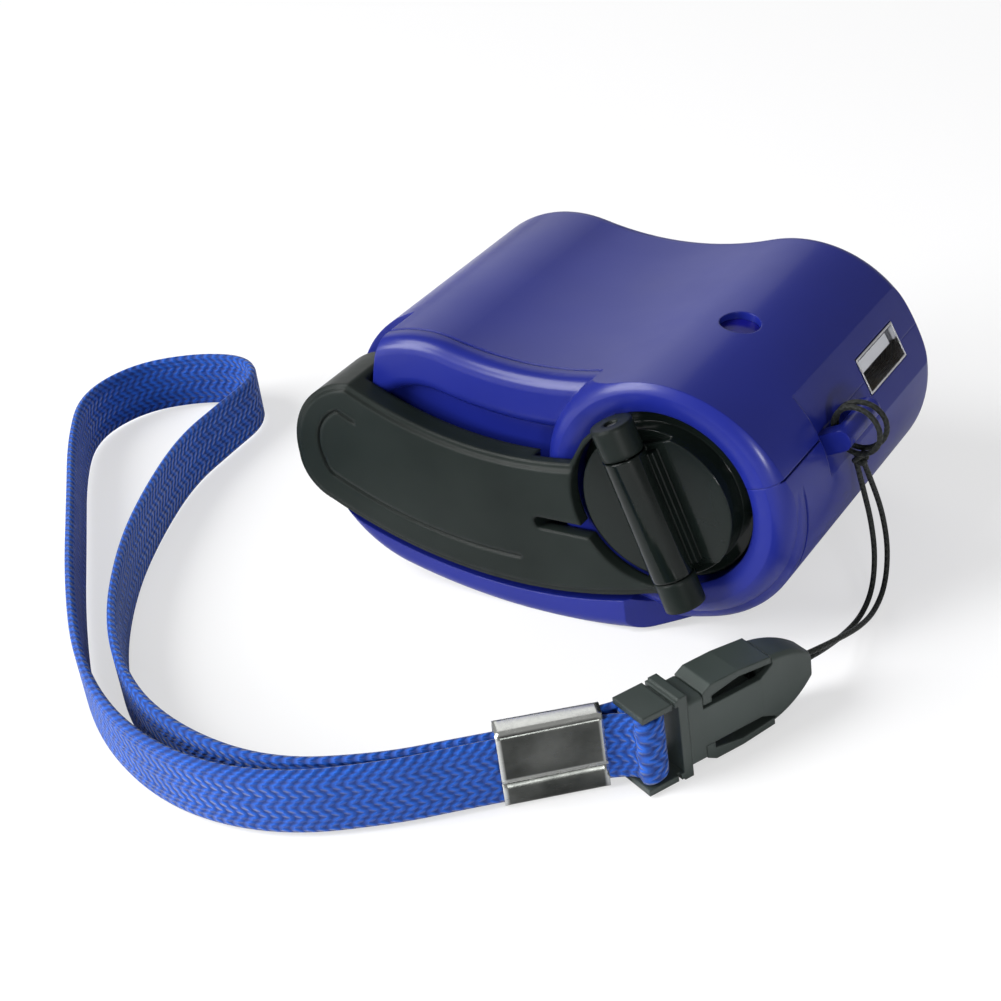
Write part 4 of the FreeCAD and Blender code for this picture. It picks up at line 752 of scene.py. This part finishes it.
class CHARGER_OT_cord(Operator):
    """Runs the two thin strands from the buckle to the knot, and hitches them to the bar"""

    bl_idname = "charger.cord"
    bl_label = "Cord and hitch"

    def execute(self, context):
        look = settings().cord
        braid = braid_finish()
        ring = circle(look.radius, look.sides)
        for index, route in enumerate(STRAND_ROUTES, start=1):
            walked = route_points(f"strand_route_{index}", route, 10)
            strand = new_piece(f"thin_strand_{index}", swept(ring, turned_frames(walked)), braid, "housing")
            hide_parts(f"cord_strand_{index}")
        hitch = self.hitch(look, ring, braid)
        return {"FINISHED"}

    def hitch(self, look, ring, braid):
        """Two loops that hang on the bar and spread a little, and the knot that gathers them."""
        low, high = [Vector(corner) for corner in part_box("cord_hitch")]
        middle = (low + high) / 2
        reach = (high.x - low.x) / 2 - look.radius
        loop_z = high.z - look.radius - reach
        inner_x = middle.x - reach
        bundle = bmesh.new()
        bundle.loops.layers.uv.new("tape")
        for side, spread in LOOPS:
            path = []
            for angle in round_angles(LOOP_STEPS):
                out = reach * (1 + math.cos(angle))
                path.append(Vector((
                    inner_x + out * math.cos(spread),
                    middle.y + side * LOOP_APART + out * math.sin(spread),
                    loop_z + reach * math.sin(angle),
                )))
            add_tube(bundle, ring, path)
        path = []
        for turn in round_angles(KNOT_STEPS):
            wide = KNOT_WIDE + KNOT_WAVE * math.cos(3 * turn)
            path.append(Vector((
                middle.x + wide * math.cos(2 * turn),
                middle.y + wide * math.sin(2 * turn),
                low.z + KNOT_UP + KNOT_TALL * math.sin(3 * turn),
            )))
        add_tube(bundle, ring, path)
        hitch = new_piece("hitch_loops", bundle, braid, "housing")
        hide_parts("cord_hitch")
        return hitch


class CHARGER_OT_shells(Operator):
    """Finishes the two blue shells, their screws and the other steel pins"""

    bl_idname = "charger.shells"
    bl_label = "Shells"

    def execute(self, context):
        paint(["top_shell", "bottom_shell"], shell_finish())
        steel = drawn_metal("screw_steel", (0.56, 0.57, 0.59), 0.3)
        paint(["shell_screws", "hinge_pin", "crank_shaft", "gear_axles", "rotor_shaft", "knob_axle"], steel)
        return {"FINISHED"}


class CHARGER_OT_crank(Operator):
    """Finishes the folding crank"""

    bl_idname = "charger.crank"
    bl_label = "Crank"

    def execute(self, context):
        paint(["crank_arm"], crank_finish())
        paint(["crank_disc", "grip_knob"], disc_finish())
        return {"FINISHED"}


class CHARGER_OT_lamp(Operator):
    """Finishes the lamp and its recessed lens"""

    bl_idname = "charger.lamp"
    bl_label = "Lamp"

    def execute(self, context):
        paint(["lamp_lens"], lens_finish())
        clear = moulded(
            "lamp_clear", (0.62, 0.66, 0.72), (0.5, 0.55, 0.62), 0.15, grain=1500.0, edge=0.0002,
        )
        paint(["lamp_body"], clear)
        return {"FINISHED"}


class CHARGER_OT_socket(Operator):
    """Finishes the USB socket and the circuit board behind it"""

    bl_idname = "charger.socket"
    bl_label = "USB socket and board"

    def execute(self, context):
        paint(["usb_shell"], drawn_metal("socket_steel", (0.70, 0.70, 0.72), 0.22, (40.0, 1.0, 1.0)))
        tongue = moulded(
            "socket_white", (0.62, 0.63, 0.66), (0.52, 0.53, 0.57), 0.45, grain=3000.0, edge=0.00015,
        )
        paint(["usb_tongue"], tongue)
        paint(["usb_contacts", "generator_terminals"], drawn_metal("contact_gold", (0.83, 0.62, 0.26), 0.25))
        paint(["circuit_board"], board_finish())
        sleeve = moulded(
            "capacitor_black", (0.03, 0.03, 0.05), (0.02, 0.02, 0.03), 0.3, grain=900.0, edge=0.0003,
        )
        paint(["capacitor"], sleeve)
        ferrite = moulded(
            "ferrite", (0.06, 0.06, 0.06), (0.04, 0.04, 0.04), 0.6, grain=2500.0, edge=0.0002,
        )
        paint(["inductor"], ferrite)
        resin = moulded(
            "chip_black", (0.02, 0.02, 0.02), (0.012, 0.012, 0.012), 0.5, grain=4000.0, edge=0.0001,
        )
        paint(["regulator_chip"], resin)
        return {"FINISHED"}


class CHARGER_OT_works(Operator):
    """Finishes the gear train and the generator"""

    bl_idname = "charger.works"
    bl_label = "Gears and generator"

    def execute(self, context):
        acetal = moulded(
            "gear_white", (0.80, 0.79, 0.73), (0.70, 0.69, 0.63), 0.4, grain=1800.0, edge=0.0001,
        )
        paint(["drive_gear", "compound_gear_1", "compound_gear_2"], acetal)
        paint(["generator_pinion", "shaft_bush"], drawn_metal("bronze", (0.62, 0.43, 0.20), 0.34))
        paint(["generator_can"], drawn_metal("can_steel", (0.58, 0.59, 0.60), 0.32, (1.0, 40.0, 1.0)))
        cap = moulded(
            "cap_black", (0.035, 0.035, 0.035), (0.02, 0.02, 0.02), 0.5, grain=2500.0, edge=0.0003,
        )
        paint(["generator_cap"], cap)
        plate = moulded(
            "frame_grey", (0.26, 0.27, 0.29), (0.20, 0.21, 0.22), 0.5, grain=2000.0, edge=0.0003,
        )
        paint(["gear_plate"], plate)
        return {"FINISHED"}


class CHARGER_OT_buckle(Operator):
    """Finishes the release buckle"""

    bl_idname = "charger.buckle"
    bl_label = "Buckle"

    def execute(self, context):
        shade = moulded(
            "buckle_black", (0.038, 0.049, 0.045), (0.026, 0.034, 0.031), 0.36, grain=3000.0, edge=0.0004,
            Specular_IOR_Level=0.35,
        )
        paint(["buckle_socket", "buckle_plug", "upper_prong", "lower_prong"], shade)
        return {"FINISHED"}


class CHARGER_OT_crimp(Operator):
    """Folds the metal crimp round both layers of the strap"""

    bl_idname = "charger.crimp"
    bl_label = "Crimp"

    def execute(self, context):
        look = settings().crimp
        mesh = bmesh.new()
        front, back = -look.thick / 2, look.thick / 2
        proud = front - look.sheet * CRIMP_PROUD
        lip = look.tall * CRIMP_LIP
        hem, edge_up = look.bend * CRIMP_HEM, look.sheet * CRIMP_EDGE
        lead = [(proud, lip), (proud, lip + edge_up), (proud, look.tall - hem)]
        folds = [(proud, look.tall), (back, look.tall), (back, 0.0), (front, 0.0)]
        tuck = [(front, hem), (front, look.tall * CRIMP_TUCK)]
        outline = [mesh.verts.new((0, across, up)) for across, up in lead + folds + tuck]
        for before, after in zip(outline, outline[1:]):
            mesh.edges.new((before, after))
        bmesh.ops.bevel(
            mesh, geom=outline[len(lead):-len(tuck)], offset=look.bend, segments=5, profile=0.5,
            affect="VERTICES", material=-1,
        )
        # the rim layer is 1 within a sheet's gauge of the folds, the lip and the ends: there the finish
        # paints a highlight
        rim_highlight = mesh.verts.layers.float.new("rim")
        row, rim = list(mesh.verts), list(mesh.edges)
        for reach in CRIMP_ROWS:
            if reach > 0.0:
                grown = bmesh.ops.extrude_edge_only(mesh, edges=rim)["geom"]
                row = [part for part in grown if isinstance(part, bmesh.types.BMVert)]
                rim = [part for part in grown if isinstance(part, bmesh.types.BMEdge)]
            inside = 0.0 < reach < 1.0
            for vert in row:
                vert.co.x = reach * look.length
                near = min(abs(vert.co.z - edge) for edge in (0.0, lip, look.tall))
                vert[rim_highlight] = 0.0 if inside and near >= look.sheet else 1.0
                if inside:
                    vert.co.y *= CRIMP_WAIST
        settle(mesh)
        bmesh.ops.recalc_face_normals(mesh, faces=mesh.faces)
        bmesh.ops.solidify(mesh, geom=mesh.faces, thickness=look.sheet)
        bmesh.ops.recalc_face_normals(mesh, faces=mesh.faces)
        turn = Matrix.Rotation(CRIMP_TURN, 4, "Z")
        bmesh.ops.transform(mesh, matrix=Matrix.Translation(CRIMP_FOOT) @ turn, verts=mesh.verts)
        crimp = new_piece("folded_crimp", mesh, crimp_finish(), "strap")
        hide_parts("strap_crimp")
        return {"FINISHED"}


class CHARGER_OT_stage(Operator):
    """Lays the floor, and sets the lamps and the even light"""

    bl_idname = "charger.stage"
    bl_label = "Stage"

    def execute(self, context):
        look = settings().stage
        sheet = bmesh.new()
        bmesh.ops.create_grid(sheet, x_segments=1, y_segments=1, size=FLOOR_SIZE)
        data = bpy.data.meshes.new("floor")
        sheet.to_mesh(data)
        sheet.free()
        floor = bpy.data.objects.new("floor", data)
        context.collection.objects.link(floor)
        floor.location.z = FLOOR_DROP
        data.materials.append(self.floor_finish(look))
        for name, place, aim, size, power in LAMPS:
            self.lamp(name, place, aim, size, getattr(look, power))
        world = bpy.data.worlds.new("studio")
        context.scene.world = world
        world.use_nodes = True
        tree = world.node_tree
        even = tree.nodes["Background"]
        even.inputs["Color"].default_value = WHITE
        even.inputs["Strength"].default_value = look.ambient
        seen = tree.nodes.new("ShaderNodeBackground")
        seen.inputs["Color"].default_value = WHITE
        ray = tree.nodes.new("ShaderNodeLightPath")
        mix = tree.nodes.new("ShaderNodeMixShader")
        tree.links.new(ray.outputs["Is Camera Ray"], mix.inputs[0])
        tree.links.new(even.outputs[0], mix.inputs[1])
        tree.links.new(seen.outputs[0], mix.inputs[2])
        tree.links.new(mix.outputs[0], tree.nodes["World Output"].inputs[0])
        context.scene.view_settings.view_transform = "Standard"
        return {"FINISHED"}

    def floor_finish(self, look):
        """A pale floor that keeps the shadow near the charger and fades to plain white far from it."""
        finish = Finish("floor_pale", Roughness=0.9)
        mottle = finish.spread(finish.noise(3.0, 2.0, 0.5), 0.99, 1.0)
        shade = finish.blend(mottle, (0.84, 0.84, 0.85), look.floor)
        finish.put(shade, "Base Color")
        glow = finish.node("ShaderNodeEmission", {"Color": WHITE, "Strength": 1.0})
        ray = finish.node("ShaderNodeLightPath").outputs["Is Camera Ray"]
        reach = finish.node("ShaderNodeVectorMath", {0: finish.place()}, operation="LENGTH").outputs["Value"]
        share = finish.maths("MULTIPLY", ray, finish.spread(reach, 0.6, 1.0, 0.2, 0.6))
        lit = finish.shader.outputs[0]
        mix = finish.node("ShaderNodeMixShader", {0: share, 1: lit, 2: glow.outputs[0]})
        finish.tree.links.new(mix.outputs[0], finish.tree.nodes["Material Output"].inputs[0])
        return finish.material

    def lamp(self, name, place, aim, size, power):
        """Stands a round lamp at a place and turns it to a point."""
        data = bpy.data.lights.new(name, "AREA")
        data.shape = "DISK"
        data.size = size
        data.energy = power
        lamp = bpy.data.objects.new(name, data)
        bpy.context.collection.objects.link(lamp)
        way = Vector(aim) - Vector(place)
        lamp.location = place
        lamp.rotation_euler = way.to_track_quat("-Z", "Y").to_euler()


def paint(nodes, material):
    """Gives CAD nodes a finish."""
    for name in nodes:
        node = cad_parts[name]
        node.data.materials.clear()
        node.data.materials.append(material)


class CHARGER_PT_panel(Panel):
    """The charger's pieces and their settings"""

    bl_idname = "CHARGER_PT_panel"
    bl_label = "Hand Crank Charger"
    bl_space_type = "VIEW_3D"
    bl_region_type = "UI"
    bl_category = "Charger"

    def draw(self, context):
        for name in ChargerSettings.__annotations__:
            group = getattr(settings(), name)
            box = self.layout.box()
            box.label(text=name.capitalize())
            for key in group.__annotations__:
                box.prop(group, key)
        for step in STEPS:
            self.layout.operator(step.bl_idname)


STEPS = (
    CHARGER_OT_camera, CHARGER_OT_crimp, CHARGER_OT_strap, CHARGER_OT_cord, CHARGER_OT_shells,
    CHARGER_OT_crank, CHARGER_OT_lamp, CHARGER_OT_socket, CHARGER_OT_works, CHARGER_OT_buckle,
    CHARGER_OT_stage,
)
GROUPS = (
    CameraSettings, ShellSettings, CrankSettings, StrapSettings, CordSettings, CrimpSettings, StageSettings,
    ChargerSettings,
)


def register():
    for kind in (*GROUPS, *STEPS, CHARGER_PT_panel):
        bpy.utils.register_class(kind)
    bpy.types.Scene.charger = PointerProperty(type=ChargerSettings)


def unregister():
    del bpy.types.Scene.charger
    for kind in reversed((*GROUPS, *STEPS, CHARGER_PT_panel)):
        bpy.utils.unregister_class(kind)


def main():
    register()
    bpy.ops.charger.camera()
    bpy.ops.charger.crimp()
    bpy.ops.charger.strap()
    bpy.ops.charger.cord()
    bpy.ops.charger.shells()
    bpy.ops.charger.crank()
    bpy.ops.charger.lamp()
    bpy.ops.charger.socket()
    bpy.ops.charger.works()
    bpy.ops.charger.buckle()
    bpy.ops.charger.stage()


if __name__ == "__main__":
    main()
